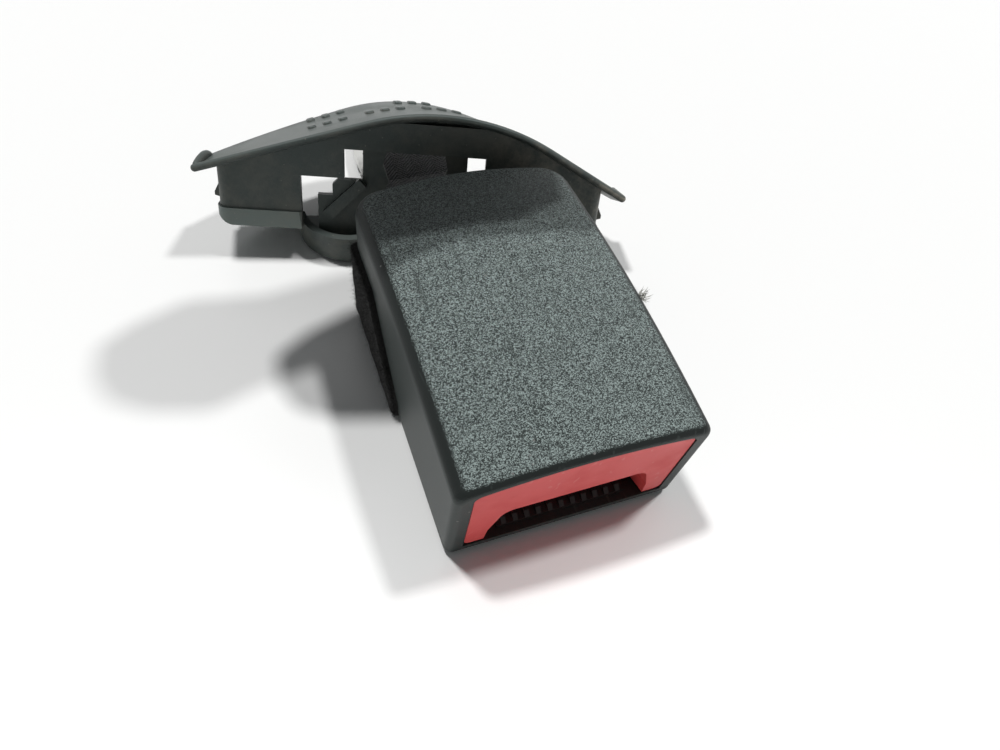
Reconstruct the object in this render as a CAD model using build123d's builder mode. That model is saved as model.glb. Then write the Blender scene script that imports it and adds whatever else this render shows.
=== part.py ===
"""Seat belt buckle on a short webbing stalk, with its end-release button, its steel latch
frame, the arched trim bezel that the stalk runs through and the anchor plate.

Millimetres. +X is the width, +Y runs from the tongue slot back along the stalk and +Z is up.
The origin is the middle of the head's flat bottom face.
"""

import os
from math import asin, atan2, cos, degrees, radians, sin, tan

from build123d import *

os.makedirs("parts", exist_ok=True)

# ---- head: the two covers ----
head_length = 68.0
head_width = 44.0
front_height = 26.5
rear_height = 29.5
top_arch = 2.0  # rise of the top's long arch over its chord
top_crown = 2.0  # drop of the top from its middle to its sides
front_slant = 3.0  # the front face's foot stands this far behind its top
rear_bow = 1.0
rear_corner = 6.0
top_round = 3.0
front_round = 1.5
bottom_round = 2.0
side_wall = 3.0
top_wall = 1.3
rear_wall = 2.4
floor_wall = 2.0
seam_height = 3.0
tray_wall = 1.4
snap_wall_y = 3.5
snap_wall_length = 40.0
snap_wall_height = 4.0
strap_exit_high = 18.5

# ---- clearances ----
slide_gap = 0.2  # between a sliding piece and what guides it
cover_gap = 0.2  # between a fixed inner piece and a cover
pin_gap = 0.05  # radial, round a pin that turns in a hole

# ---- release button ----
button_travel = 5.0
button_depth = 8.0
button_foot = 3.4  # height of the feet's soles over the bottom
face_set = 0.2  # the face stands this far behind the covers' front
arch_height = 14.1
arch_top_width = 20.8
arch_shoulder_width = 27.2
arch_foot_width = 32.0
throat_width = 26.6  # the arch narrows to this behind the face
throat_height = 12.2
button_arm_thickness = 1.5
button_arm_height = 4.5

# ---- steel frame and its pins ----
frame_thickness = 2.0
frame_side_gap = 0.8  # between the frame's flanges and the button's arms
frame_front = -17.5
frame_rear_gap = 0.4  # between the frame and the covers' rear wall
frame_base = 3.0  # underside of the frame's base over the bottom
flange_low = 16.5
flange_high = 20.0
flange_high_front = -10.0
flange_high_rear = 16.0
strap_bar_radius = 2.5
strap_bar_inset = 3.7  # the bar's middle lies this far inside the frame's rear edge
strap_bar_z = 12.0
spring_tab_width = 12.0

# ---- spring bridge ----
bridge_thickness = 1.5
bridge_front = -6.5
bridge_rear = 18.0
spring_x = 6.5
bridge_low = flange_high
bridge_top = bridge_low + bridge_thickness

# ---- tongue guide ----
ramp_rib = 0.9
ramp_rib_pitch = 2.2
ramp_rib_count = 11
ramp_rib_height = 0.6

# ---- latch, lock slider and ejector ----
latch_pin_radius = 1.5
latch_pin_y = 9.0
latch_pin_z = 14.5
latch_width = 20.0
latch_reach = 18.0
latch_thickness = 2.0
nose_drop = 1.4
lock_pin_radius = 1.25
lock_pin_y = -4.5
lock_pin_z = 17.1
slider_thickness = 1.6
slider_side_gap = 1.2  # between the slider's tabs and the frame's flanges
slider_tab = 1.7
slider_tab_set = 0.6  # the tabs stand this far out from the slider's sides
slider_tab_length = 6.0
slider_slot = 7.0
ejector_travel = 11.0
ejector_spring_closed = 9.5  # room left for the spring at full travel
ejector_width = 22.0
ejector_length = 12.0
ejector_front = -12.0
ejector_top = 11.0
blade_high = 10.2  # top of the space that the tongue's blade runs in

# ---- coil springs ----
ejector_coil = 2.6
ejector_wire = 0.35
ejector_turns = 7
button_coil = 1.7
button_wire = 0.25
button_turns = 6
latch_coil = 1.9
latch_wire = 0.25
latch_turns = 4

# ---- webbing stalk and anchor ----
strap_width = 20.0
strap_thickness = 1.2
fold_reach = 3.2  # a fold closes this many loop radii from its bar
loop_gap = 0.15
stalk_reach = 44.3  # from the frame's bar back to the anchor's
anchor_bar_z = 4.6
anchor_loop_radius = 3.0
anchor_thickness = 3.0
anchor_bar_width = 4.4
anchor_land = 1.8  # metal left on each side of the strap's slot
strap_slot_gap = 0.8
anchor_hole_radius = 6.1
anchor_hole_distance = 14.2
anchor_eye_radius = 11.0
stitch_rows = 4
stitches_per_row = 8

# ---- felt strips ----
felt_thickness = 1.9
felt_recess = 0.6
felt_front = -1.0
felt_rear = 30.0
felt_height = 18.5
felt_low = 0.6
felt_shoulder = 4.6  # the front end is square up to this height
felt_edge_round = 0.8
felt_cut = 17.0  # length of the slanted front end

# ---- trim bezel ----
trim_x = -4.3
trim_behind = 13.9  # from the head's rear back to the trim's middle
trim_z = 30.2
trim_yaw = -16.5
trim_pitch = -20.0
trim_roll = 1.7
flange_left = 45.2  # reach of the flange's near edge to each side of the trim's middle
flange_right = 45.8
flange_depth = 29.0
flange_end_depth = 9.0
flange_thickness = 1.1
flange_left_slope = 17.7
flange_right_slope = 26.9
flange_peak_x = 10.0  # the two slopes would meet here, but for the bend between them
flange_peak_rise = 6.8
flange_bend = 51.0
flange_skew = 15.0  # the far edge is moved to the left by this angle
flange_fall = 7.0  # and lower by this one
sheet_drop = 0.5  # the flange's face lies this far below the bead's top
bead_radius = 0.8
skirt_width = 84.8
skirt_front = 1.6
skirt_depth = 26.0
skirt_end_depth = 9.0
skirt_wall = 1.8
skirt_drop = 24.2
skirt_rear_drop = 24.0
band_height = 3.6
band_proud = 0.5
band_corner = 5.0
opening_top_width = 30.2
opening_top_drop = 6.2
opening_step_drop = 12.4
opening_width = 48.6
rear_opening_width = 54.0
rear_opening_drop = 9.0
barb_height = 5.0

# ---- strap guide in the trim ----
guide_wall = 1.6
guide_setback = 4.8  # the posts stand this far behind the flange's near edge
guide_floor = 0.6  # clear height under the guide
guide_lip_top = 7.0
guide_window_width = 13.4
left_leg_width = 11.0
right_leg_width = 1.4
guide_post_width = 4.6
post_foot_drop = 17.3  # the posts end above the stalk
shoulder_width = 6.6
shoulder_step = 3.2
shoulder_drop = 13.5
shoulder_step_drop = 17.2
lip_left = (-29.2, 20.8)  # places across and behind the middle of the head's rear
lip_turn = (-27.3, 14.8)
lip_near_left = (-20.5, 10.2)
lip_near_right = (12.0, 5.4)
lip_right = (16.4, 6.4)
floor_rear_left = 26.0
floor_rear_right = 13.0


# The frame fits between the button's arms, its tab behind the closed ejector spring, and the
# anchor's slot round the strap.
button_side = side_wall + slide_gap
frame_width = head_width - 2 * (button_side + button_arm_thickness + frame_side_gap)
slider_outer = frame_width / 2 - frame_thickness - slider_side_gap
slider_width = 2 * (slider_outer - slider_tab - slider_tab_set)
frame_rear = head_length / 2 - rear_wall - rear_bow - frame_rear_gap
strap_bar_y = frame_rear - strap_bar_inset
anchor_bar_y = strap_bar_y + stalk_reach
trim_y = head_length / 2 + trim_behind
spring_tab_y = ejector_front + ejector_length + ejector_travel + ejector_spring_closed
anchor_slot_width = strap_width + strap_slot_gap
anchor_width = anchor_slot_width + 2 * anchor_land

# The top of the head is one long arch, so its section is turned about a far, low axis.
arch_radius = (head_length / 2) ** 2 / (2 * top_arch) + top_arch / 2
arch_slope = atan2(rear_height - front_height, head_length)
arch_y = (arch_radius - top_arch) * sin(arch_slope)
arch_z = (front_height + rear_height) / 2 - (arch_radius - top_arch) * cos(arch_slope)
arch_axis = Axis((0, arch_y, arch_z), (-1, 0, 0))
sweep_half = degrees(head_length / arch_radius)


def front_y(z):
    """Where the slanted front face stands at height z."""
    return -head_length / 2 + front_slant * (1 - z / front_height)


def head_form(side_inset, top_inset, rear_inset, front_at, bottom_at):
    """The head's outside form, moved inwards; front_at is the front face's place at z = 0."""
    half = head_width / 2 - side_inset
    start = radians(sweep_half)
    section_plane = Plane(
        (0, arch_y, arch_z), x_dir=(1, 0, 0), z_dir=(0, -cos(start), -sin(start))
    )
    crest = arch_radius - top_inset
    below = crest - 2 * rear_height
    shoulder = crest - top_crown * (head_width / half) ** 2
    lean = front_slant / front_height
    ceiling = 2 * rear_height
    rear = head_length / 2 - rear_inset
    with BuildPart() as form:
        with BuildSketch(section_plane):
            with BuildLine():
                ThreePointArc((-head_width, shoulder), (0, crest), (head_width, shoulder))
                Line((head_width, shoulder), (head_width, below))
                Line((head_width, below), (-head_width, below))
                Line((-head_width, below), (-head_width, shoulder))
            make_face()
        revolve(axis=arch_axis, revolution_arc=2 * sweep_half)
        with BuildSketch() as plan:
            with BuildLine():
                ThreePointArc((-half, rear - rear_bow), (0, rear), (half, rear - rear_bow))
                Line((half, rear - rear_bow), (half, -head_length))
                Line((half, -head_length), (-half, -head_length))
                Line((-half, -head_length), (-half, rear - rear_bow))
            make_face()
            fillet(plan.vertices().group_by(Axis.Y)[-1], rear_corner - rear_inset)
        extrude(amount=ceiling, both=True, mode=Mode.INTERSECT)
        # the top is rounded over at both sides and round the rear
        top = form.faces().sort_by(Axis.Z)[-1]
        fillet(top.edges().sort_by(Axis.Y)[1:], top_round - top_inset)
        with BuildSketch(Plane.YZ):
            Polygon(
                (front_at - lean * bottom_at, bottom_at),
                (front_at - lean * ceiling, ceiling),
                (head_length, ceiling),
                (head_length, bottom_at),
                align=None,
            )
        extrude(amount=head_width, both=True, mode=Mode.INTERSECT)
    return form.part


outer_front = -head_length / 2 + front_slant
with BuildPart() as head_outside:
    add(head_form(0, 0, 0, outer_front, 0))
    front_face = head_outside.faces().sort_by(Axis.Y)[0]
    fillet(front_face.edges().filter_by(lambda e: e.center().Z > seam_height), front_round)
    fillet(head_outside.edges().group_by(Axis.Z)[0].filter_by(Axis.Y), bottom_round)

head_cavity = head_form(side_wall, top_wall, rear_wall, -head_length, -seam_height)

# ---- felt strips, one glued to each side, cut on the slant at their front end ----
felt_outline = [
    (felt_front, felt_low),
    (felt_front, felt_shoulder),
    (felt_front + felt_cut, felt_height),
    (felt_rear, felt_height),
    (felt_rear, felt_low),
]


def felt_strip(side):
    """One strip lying in its shallow recess on the side that side (+1 or -1) names."""
    inner = head_width / 2 - felt_recess
    with BuildPart() as strip:
        with BuildSketch(Plane.YZ.offset(side * inner)):
            Polygon(*felt_outline, align=None)
        extrude(amount=side * felt_thickness)
        outside = strip.faces().filter_by(Axis.X).sort_by(Axis.X)[0 if side < 0 else -1]
        fillet(outside.edges().filter_by(lambda e: e.center().Z > felt_low), felt_edge_round)
    return strip.part


with BuildPart() as felt_strip_left:
    add(felt_strip(-1))
felt_strip_left.part.label = "felt_strip_left"
export_step(felt_strip_left.part, "parts/felt_strip_left.step")

with BuildPart() as felt_strip_right:
    add(felt_strip(1))
felt_strip_right.part.label = "felt_strip_right"
export_step(felt_strip_right.part, "parts/felt_strip_right.step")

# ---- covers: an upper shell that carries the texture and a shallow lower tray ----
strap_exit_width = strap_width + 2.0

with BuildPart() as upper_cover:
    add(head_outside.part)
    add(head_cavity, mode=Mode.SUBTRACT)
    split(bisect_by=Plane.XY.offset(seam_height), keep=Keep.TOP)
    for side in (-1, 1):
        with BuildSketch(Plane.YZ.offset(side * head_width / 2)):
            Polygon(*felt_outline, align=None)
        extrude(amount=-side * felt_recess, mode=Mode.SUBTRACT)
    with BuildSketch(Plane.XZ.offset(-head_length / 2 - 1)):
        with Locations((0, (seam_height + strap_exit_high) / 2)):
            Rectangle(strap_exit_width, strap_exit_high - seam_height)
    extrude(amount=rear_corner + 1, mode=Mode.SUBTRACT)
    # ribs under the roof hold the spring bridge down
    with BuildSketch(Plane.XY.offset(bridge_top + cover_gap)):
        with Locations((0, latch_pin_y)):
            with GridLocations(frame_width - 3, 0, 2, 1):
                Rectangle(1.2, 8.0)
    extrude(until=Until.NEXT)
upper_cover.part.label = "upper_cover"
export_step(upper_cover.part, "parts/upper_cover.step")

tray_half = head_width / 2 - side_wall - cover_gap
tray_front = front_y(0) + 1.0
with BuildPart() as lower_cover:
    add(head_outside.part)
    split(bisect_by=Plane.XY.offset(seam_height), keep=Keep.BOTTOM)
    for side in (-1, 1):
        with BuildSketch(Plane.YZ.offset(side * head_width / 2)):
            Polygon(*felt_outline, align=None)
        extrude(amount=-side * felt_recess, mode=Mode.SUBTRACT)
    # the floor is hollowed between two long walls and a rear wall
    hollow_front = tray_front + 2.0
    hollow_rear = head_length / 2 - rear_wall - rear_bow - cover_gap - tray_wall
    with BuildSketch(Plane.XY.offset(floor_wall)):
        with Locations((0, (hollow_front + hollow_rear) / 2)):
            Rectangle(2 * (tray_half - tray_wall), hollow_rear - hollow_front)
    extrude(amount=seam_height, mode=Mode.SUBTRACT)
    # snap walls stand up inside the upper cover's sides
    for side in (-1, 1):
        with BuildSketch(Plane.XY.offset(seam_height)):
            with Locations((side * (tray_half - tray_wall / 2), snap_wall_y)):
                Rectangle(tray_wall, snap_wall_length)
        extrude(amount=snap_wall_height)
    # two cross rails carry the steel frame
    with BuildSketch(Plane.XY.offset(floor_wall)):
        with GridLocations(0, frame_rear - frame_front - 8, 1, 2):
            with Locations((0, (frame_rear + frame_front) / 2)):
                Rectangle(frame_width, 4.0)
    extrude(amount=frame_base - floor_wall)
lower_cover.part.label = "lower_cover"
export_step(lower_cover.part, "parts/lower_cover.step")

# ---- release button: an arch over the tongue slot, with an arm down each side ----
button_top = top_wall + slide_gap
button_rear = front_y(0) + button_depth


def arch_outline(width_top, width_shoulder, width_foot, height):
    """Half of the arch over the slot, closed down to below the feet."""
    shoulder_z = height - 1.7
    with BuildLine() as outline:
        Line((0, height), (width_top / 2, height))
        ThreePointArc(
            (width_top / 2, height),
            ((width_top + width_shoulder) / 4 + 0.5, height - 0.45),
            (width_shoulder / 2, shoulder_z),
        )
        Polyline(
            (width_shoulder / 2, shoulder_z),
            ((width_shoulder + width_foot) / 4 + 0.6, shoulder_z * 0.6),
            (width_foot / 2, button_foot),
            (width_foot / 2 + 0.3, 0),
            (0, 0),
            (0, height),
        )
    return outline.line


with BuildPart() as release_button:
    add(head_form(button_side, button_top, 0, outer_front + face_set, button_foot))
    with BuildSketch(Plane.YZ):
        Polygon(
            (-head_length, 0),
            (button_rear, 0),
            (button_rear, 2 * rear_height),
            (-head_length, 2 * rear_height),
            align=None,
        )
    extrude(amount=head_width, both=True, mode=Mode.INTERSECT)
    with BuildSketch(Plane.XZ.offset(head_length / 2 + 1)) as mouth:
        with BuildLine():
            add(arch_outline(arch_top_width, arch_shoulder_width, arch_foot_width, arch_height))
        make_face()
        mirror(about=Plane.YZ)
    with BuildSketch(Plane.XZ.offset(-button_rear - 0.5)) as throat:
        with BuildLine():
            add(
                arch_outline(
                    throat_width - 6, throat_width - 1.4, throat_width + 0.6, throat_height
                )
            )
        make_face()
        mirror(about=Plane.YZ)
    loft(mode=Mode.SUBTRACT)
    # the feet's soles are rounded towards the outer sides
    fillet(
        release_button.edges()
        .filter_by(Axis.Y)
        .filter_by(lambda e: abs(e.center().X) > head_width / 2 - button_side - 0.1 and e.center().Z < 5),
        1.2,
    )
    # two arms guide the button between the frame and the covers
    arm_x = head_width / 2 - button_side - button_arm_thickness / 2
    with BuildSketch(Plane.XZ.offset(-button_rear + 1.0)):
        with GridLocations(2 * arm_x, 0, 2, 1):
            with Locations((0, flange_low)):
                Rectangle(button_arm_thickness, button_arm_height)
    extrude(amount=-16.0)
release_button.part.label = "release_button"
export_step(release_button.part, "parts/release_button.step")

# ---- steel frame: a channel folded from one blank ----
flange_x = frame_width / 2 - frame_thickness / 2
frame_top = frame_base + frame_thickness
with BuildPart() as base_frame:
    with BuildSketch(Plane.XZ.offset(-frame_front)):
        with Locations((0, frame_base)):
            Rectangle(frame_width, frame_thickness, align=(Align.CENTER, Align.MIN))
        for side in (-1, 1):
            with Locations((side * flange_x, frame_base)):
                Rectangle(frame_thickness, flange_high - frame_base, align=(Align.CENTER, Align.MIN))
    extrude(amount=-(frame_rear - frame_front))
    fillet(
        base_frame.edges().filter_by(Axis.Y).filter_by(lambda e: e.center().Z < frame_base + 0.1), 1.2
    )
    # the flanges stand high only over the latch, and step down to the strap bar and the slot
    with BuildSketch(Plane.YZ) as profile:
        Polygon(
            (frame_front - 1, flange_high + 1),
            (flange_high_front - 4, flange_high + 1),
            (flange_high_front - 4, flange_low - 3),
            (frame_front - 1, flange_low - 6),
            align=None,
        )
        Polygon(
            (flange_high_rear, flange_high + 1),
            (flange_high_rear, flange_low + 1),
            (flange_high_rear + 4, flange_low),
            (frame_rear + 1, flange_low - 1),
            (frame_rear + 1, flange_high + 1),
            align=None,
        )
    extrude(amount=frame_width, both=True, mode=Mode.SUBTRACT)
    with BuildSketch(Plane.YZ):
        with Locations((strap_bar_y, strap_bar_z)):
            Circle(strap_bar_radius + 0.02)
        with Locations((latch_pin_y, latch_pin_z)):
            Circle(latch_pin_radius + 0.02)
        with Locations((lock_pin_y + button_travel / 2, lock_pin_z)):
            SlotCenterToCenter(button_travel + 0.4, 2 * (lock_pin_radius + slide_gap))
    extrude(amount=frame_width, both=True, mode=Mode.SUBTRACT)
    # windows in the base lighten it, and the tab cut from one of them backs the ejector spring
    with BuildSketch(Plane.XY.offset(frame_base)):
        with Locations((0, spring_tab_y + frame_thickness / 2 - 5)):
            Rectangle(spring_tab_width + 1, 8)
    extrude(amount=frame_thickness, mode=Mode.SUBTRACT)
    with BuildSketch(Plane.XY.offset(frame_top)):
        with Locations((0, spring_tab_y + 1.0)):
            Rectangle(spring_tab_width, 1.6)
    extrude(amount=6.4)
base_frame.part.label = "base_frame"
export_step(base_frame.part, "parts/base_frame.step")

# ---- pins ----
with BuildPart() as strap_bar:
    with BuildSketch(Plane.YZ):
        with Locations((strap_bar_y, strap_bar_z)):
            Circle(strap_bar_radius)
    extrude(amount=frame_width / 2 + 1.2, both=True)
    chamfer(strap_bar.edges().filter_by(GeomType.CIRCLE), 0.4)
strap_bar.part.label = "strap_bar"
export_step(strap_bar.part, "parts/strap_bar.step")

with BuildPart() as latch_pivot_pin:
    with BuildSketch(Plane.YZ):
        with Locations((latch_pin_y, latch_pin_z)):
            Circle(latch_pin_radius)
    extrude(amount=frame_width / 2 + 0.2, both=True)
    chamfer(latch_pivot_pin.edges().filter_by(GeomType.CIRCLE), 0.3)
latch_pivot_pin.part.label = "latch_pivot_pin"
export_step(latch_pivot_pin.part, "parts/latch_pivot_pin.step")

with BuildPart() as lock_pin:
    with BuildSketch(Plane.YZ):
        with Locations((lock_pin_y, lock_pin_z)):
            Circle(lock_pin_radius)
    extrude(amount=frame_width / 2 + 0.2, both=True)
    chamfer(lock_pin.edges().filter_by(GeomType.CIRCLE), 0.3)
lock_pin.part.label = "lock_pin"
export_step(lock_pin.part, "parts/lock_pin.step")

# ---- latch: a stamped plate with rolled ears on the pivot pin and a nose that holds the tongue ----
latch_z = latch_pin_z - latch_thickness / 2
nose_y = latch_pin_y - latch_reach
latch_spring_y = latch_pin_y - 4.7
with BuildPart() as latch_plate:
    with BuildSketch(Plane.YZ):
        with BuildLine():
            Polyline(
                (latch_pin_y, latch_z),
                (nose_y + 4, latch_z),
                (nose_y + 2.4, latch_z - nose_drop),
                (nose_y, latch_z - nose_drop),
                (nose_y, latch_z + latch_thickness),
                (latch_pin_y, latch_z + latch_thickness),
                close=True,
            )
        make_face()
        with Locations((latch_pin_y, latch_pin_z)):
            Circle(latch_pin_radius + 1.2)
    extrude(amount=latch_width / 2, both=True)
    with BuildSketch(Plane.YZ):
        with Locations((latch_pin_y, latch_pin_z)):
            Circle(latch_pin_radius + pin_gap)
    extrude(amount=latch_width, both=True, mode=Mode.SUBTRACT)
    # an open window between the two arms makes the plate light
    with BuildSketch(Plane.XY.offset(latch_z - 2)):
        with Locations((0, nose_y + 7.0)):
            Rectangle(latch_width * 0.45, 6.0)
    extrude(amount=latch_thickness * 3, mode=Mode.SUBTRACT)
latch_plate.part.label = "latch_plate"
export_step(latch_plate.part, "parts/latch_plate.step")

# ---- spring bridge: a moulding on top of the frame's flanges ----
bridge_narrow = slider_width / 2 + 0.4
tab_clear = lock_pin_y + button_travel + 4.2
spring_axis_z = bridge_top + button_coil + button_wire + 0.35
with BuildPart() as spring_bridge:
    with BuildSketch(Plane.XY.offset(bridge_low)):
        with Locations((0, (bridge_front + bridge_rear) / 2)):
            Rectangle(2 * bridge_narrow, bridge_rear - bridge_front)
        with Locations((0, (tab_clear + flange_high_rear) / 2)):
            Rectangle(frame_width, flange_high_rear - tab_clear)
    extrude(amount=bridge_thickness)
    with BuildSketch(Plane.XY.offset(bridge_top)):
        with Locations((0, bridge_rear - 0.9)):
            Rectangle(2 * bridge_narrow, 1.8)
    extrude(amount=4.2)
    # two posts keep the springs in line
    with BuildSketch(Plane.XZ.offset(-bridge_rear + 1.8)):
        with GridLocations(2 * spring_x, 0, 2, 1):
            with Locations((0, spring_axis_z)):
                Circle(button_coil - button_wire - 0.25)
    extrude(amount=2.0)
    # a round boss under the plate centres the latch spring
    with BuildSketch(Plane.XY.offset(bridge_low)):
        with Locations((0, latch_spring_y)):
            Circle(latch_coil - latch_wire - 0.25)
    extrude(amount=-1.2)
spring_bridge.part.label = "spring_bridge"
export_step(spring_bridge.part, "parts/spring_bridge.step")

# ---- lock slider: pushed by the button, carries the lock pin over the latch ----
slider_low = bridge_top + slide_gap
slider_front = button_rear + 0.1
slider_rear = lock_pin_y + 6.5
tab_x = slider_outer - slider_tab / 2
with BuildPart() as lock_slider:
    with BuildSketch(Plane.XY.offset(slider_low)):
        with Locations((0, (slider_front + slider_rear) / 2)):
            Rectangle(slider_width, slider_rear - slider_front)
        with Locations((0, lock_pin_y)):
            Rectangle(2 * tab_x + slider_tab, slider_tab_length)
        with Locations((0, (slider_front + lock_pin_y - slider_tab_length / 2) / 2)):
            SlotOverall(0.6 * slider_width, slider_slot, mode=Mode.SUBTRACT)
    extrude(amount=slider_thickness)
    # tabs reach down past the bridge to the lock pin
    with BuildSketch(Plane.XY.offset(slider_low)):
        with GridLocations(2 * tab_x, 0, 2, 1):
            with Locations((0, lock_pin_y)):
                Rectangle(slider_tab, slider_tab_length)
    extrude(amount=-(slider_low - lock_pin_z + lock_pin_radius + 1.1))
    with BuildSketch(Plane.YZ):
        with Locations((lock_pin_y, lock_pin_z)):
            Circle(lock_pin_radius + 0.02)
    extrude(amount=frame_width, both=True, mode=Mode.SUBTRACT)
    # a wall at the back takes the two button springs
    with BuildSketch(Plane.XY.offset(slider_low + slider_thickness)):
        with Locations((0, slider_rear - 0.7)):
            Rectangle(slider_width, 1.4)
    extrude(amount=2.6)
lock_slider.part.label = "lock_slider"
export_step(lock_slider.part, "parts/lock_slider.step")

# ---- ejector: slides on the frame's base and pushes the tongue out ----
ejector_low = frame_top + slide_gap
with BuildPart() as ejector:
    with BuildSketch(Plane.YZ):
        with BuildLine():
            Polyline(
                (ejector_front, ejector_low),
                (ejector_front + ejector_length, ejector_low),
                (ejector_front + ejector_length, ejector_top),
                (ejector_front + 7.5, ejector_top),
                (ejector_front + 6.5, blade_high - 0.5),
                (ejector_front, blade_high - 0.5),
                close=True,
            )
        make_face()
    extrude(amount=ejector_width / 2, both=True)
    fillet(ejector.edges().filter_by(Axis.Z), 1.0)
    # a shallow blind bore seats the spring
    with BuildSketch(Plane.XZ.offset(-(ejector_front + ejector_length))):
        with Locations((0, ejector_low + 2.75)):
            Circle(ejector_coil + ejector_wire + 0.2 - 0.6)
    extrude(amount=0.6, mode=Mode.SUBTRACT)
ejector.part.label = "ejector"
export_step(ejector.part, "parts/ejector.step")


# ---- coil springs: round wire on a helix ----
def coil_spring(start, direction, length, coil, wire, turns):
    """A compression spring from the point start along direction, wire centre at radius coil."""
    rise = (length - 2 * wire) / turns
    foot = Vector(*start) + Vector(*direction) * wire
    with BuildPart() as spring:
        with BuildLine() as path:
            Helix(rise, length - 2 * wire, coil, center=foot, direction=direction)
        with BuildSketch(Plane(path.line @ 0, z_dir=path.line % 0)):
            RegularPolygon(wire, 4)
        sweep(is_frenet=True)
    return spring.part


ejector_spring_y = ejector_front + ejector_length
ejector_spring_z = ejector_low + 0.2 + ejector_coil + ejector_wire
with BuildPart() as ejector_spring:
    add(
        coil_spring(
            (0, ejector_spring_y, ejector_spring_z),
            (0, 1, 0),
            spring_tab_y + 0.2 - ejector_spring_y,
            ejector_coil,
            ejector_wire,
            ejector_turns,
        )
    )
ejector_spring.part.label = "ejector_spring"
export_step(ejector_spring.part, "parts/ejector_spring.step")

button_spring_length = bridge_rear - 1.8 - slider_rear
with BuildPart() as button_spring_left:
    add(
        coil_spring(
            (-spring_x, slider_rear, spring_axis_z),
            (0, 1, 0),
            button_spring_length,
            button_coil,
            button_wire,
            button_turns,
        )
    )
button_spring_left.part.label = "button_spring_left"
export_step(button_spring_left.part, "parts/button_spring_left.step")

with BuildPart() as button_spring_right:
    add(
        coil_spring(
            (spring_x, slider_rear, spring_axis_z),
            (0, 1, 0),
            button_spring_length,
            button_coil,
            button_wire,
            button_turns,
        )
    )
button_spring_right.part.label = "button_spring_right"
export_step(button_spring_right.part, "parts/button_spring_right.step")

latch_spring_low = latch_z + latch_thickness
with BuildPart() as latch_spring:
    add(
        coil_spring(
            (0, latch_spring_y, latch_spring_low),
            (0, 0, 1),
            bridge_low - latch_spring_low,
            latch_coil,
            latch_wire,
            latch_turns,
        )
    )
latch_spring.part.label = "latch_spring"
export_step(latch_spring.part, "parts/latch_spring.step")

# ---- tongue guide: a ribbed ramp that leads the tongue into the frame ----
guide_front = front_y(0) + 1.2
guide_rear = ejector_front - 0.5
guide_low = floor_wall
ramp_width = throat_width - 2.0
ramp_low = seam_height + 0.6
ramp_high = frame_top + 0.7
ramp_top = frame_front - 1.0
with BuildPart() as tongue_guide:
    with BuildSketch(Plane.YZ) as ramp:
        with BuildLine():
            Polyline(
                (guide_front + 2.2, seam_height),
                (guide_front, seam_height),
                (guide_front, ramp_low),
                (ramp_top, ramp_high),
                (guide_rear, ramp_high),
                (guide_rear, frame_top),
                (frame_front - cover_gap, frame_top),
                (frame_front - cover_gap, guide_low),
                (guide_front + 2.2, guide_low),
                close=True,
            )
        make_face()
    extrude(amount=ramp_width / 2, both=True)
    for rib in range(ramp_rib_count):
        rib_x = ramp_rib_pitch * (rib - (ramp_rib_count - 1) / 2)
        with BuildSketch(Plane.YZ.offset(rib_x)):
            Polygon(
                (guide_front, ramp_low),
                (guide_front + 1.0, ramp_low + ramp_rib_height + 0.2),
                (ramp_top, ramp_high + ramp_rib_height),
                (guide_rear, ramp_high + ramp_rib_height),
                (guide_rear, ramp_high),
                (ramp_top, ramp_high),
                align=None,
            )
        extrude(amount=ramp_rib / 2, both=True)
tongue_guide.part.label = "tongue_guide"
export_step(tongue_guide.part, "parts/tongue_guide.step")

# ---- webbing stalk: one strap folded round the frame's bar and the anchor's bar ----
head_loop = strap_bar_radius + loop_gap
strap_run = ((anchor_bar_y - strap_bar_y) ** 2 + (anchor_bar_z - strap_bar_z) ** 2) ** 0.5
strap_plane = Plane(
    (0, strap_bar_y, strap_bar_z),
    x_dir=(0, anchor_bar_y - strap_bar_y, anchor_bar_z - strap_bar_z),
    z_dir=(1, 0, 0),
)
with BuildPart() as webbing_strap:
    with BuildSketch(strap_plane):
        with Locations((strap_run / 2, 0)):
            Rectangle(strap_run - 2 * fold_reach, 2 * strap_thickness)
        for centre, radius, heading in ((0, head_loop, 1), (strap_run, anchor_loop_radius, -1)):
            with BuildSketch(mode=Mode.PRIVATE) as fold:
                with Locations((centre, 0)):
                    Circle(radius + strap_thickness)
                with Locations((centre + heading * fold_reach * radius, 0)):
                    Circle(strap_thickness)
                make_hull()
            add(fold.sketch)
        for centre, radius, heading in ((0, head_loop, 1), (strap_run, anchor_loop_radius, -1)):
            with BuildSketch(mode=Mode.PRIVATE) as eye:
                with Locations((centre, 0)):
                    Circle(radius)
                with Locations((centre + heading * (fold_reach * radius - 1.0), 0)):
                    Circle(0.1)
                make_hull()
            add(eye.sketch, mode=Mode.SUBTRACT)
    extrude(amount=strap_width / 2, both=True)
webbing_strap.part.label = "webbing_strap"
export_step(webbing_strap.part, "parts/webbing_strap.step")

strap_top = Plane(
    strap_plane.origin + strap_plane.y_dir * strap_thickness,
    x_dir=strap_plane.x_dir,
    z_dir=strap_plane.y_dir,
)
with BuildPart() as strap_stitching:
    with BuildSketch(strap_top):
        with Locations((strap_run / 2, 0)):
            with GridLocations(2.4, strap_width / (stitches_per_row + 1), stitch_rows, stitches_per_row):
                Rectangle(0.6, 1.8)
    extrude(amount=0.22)
strap_stitching.part.label = "strap_stitching"
export_step(strap_stitching.part, "parts/strap_stitching.step")

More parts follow.
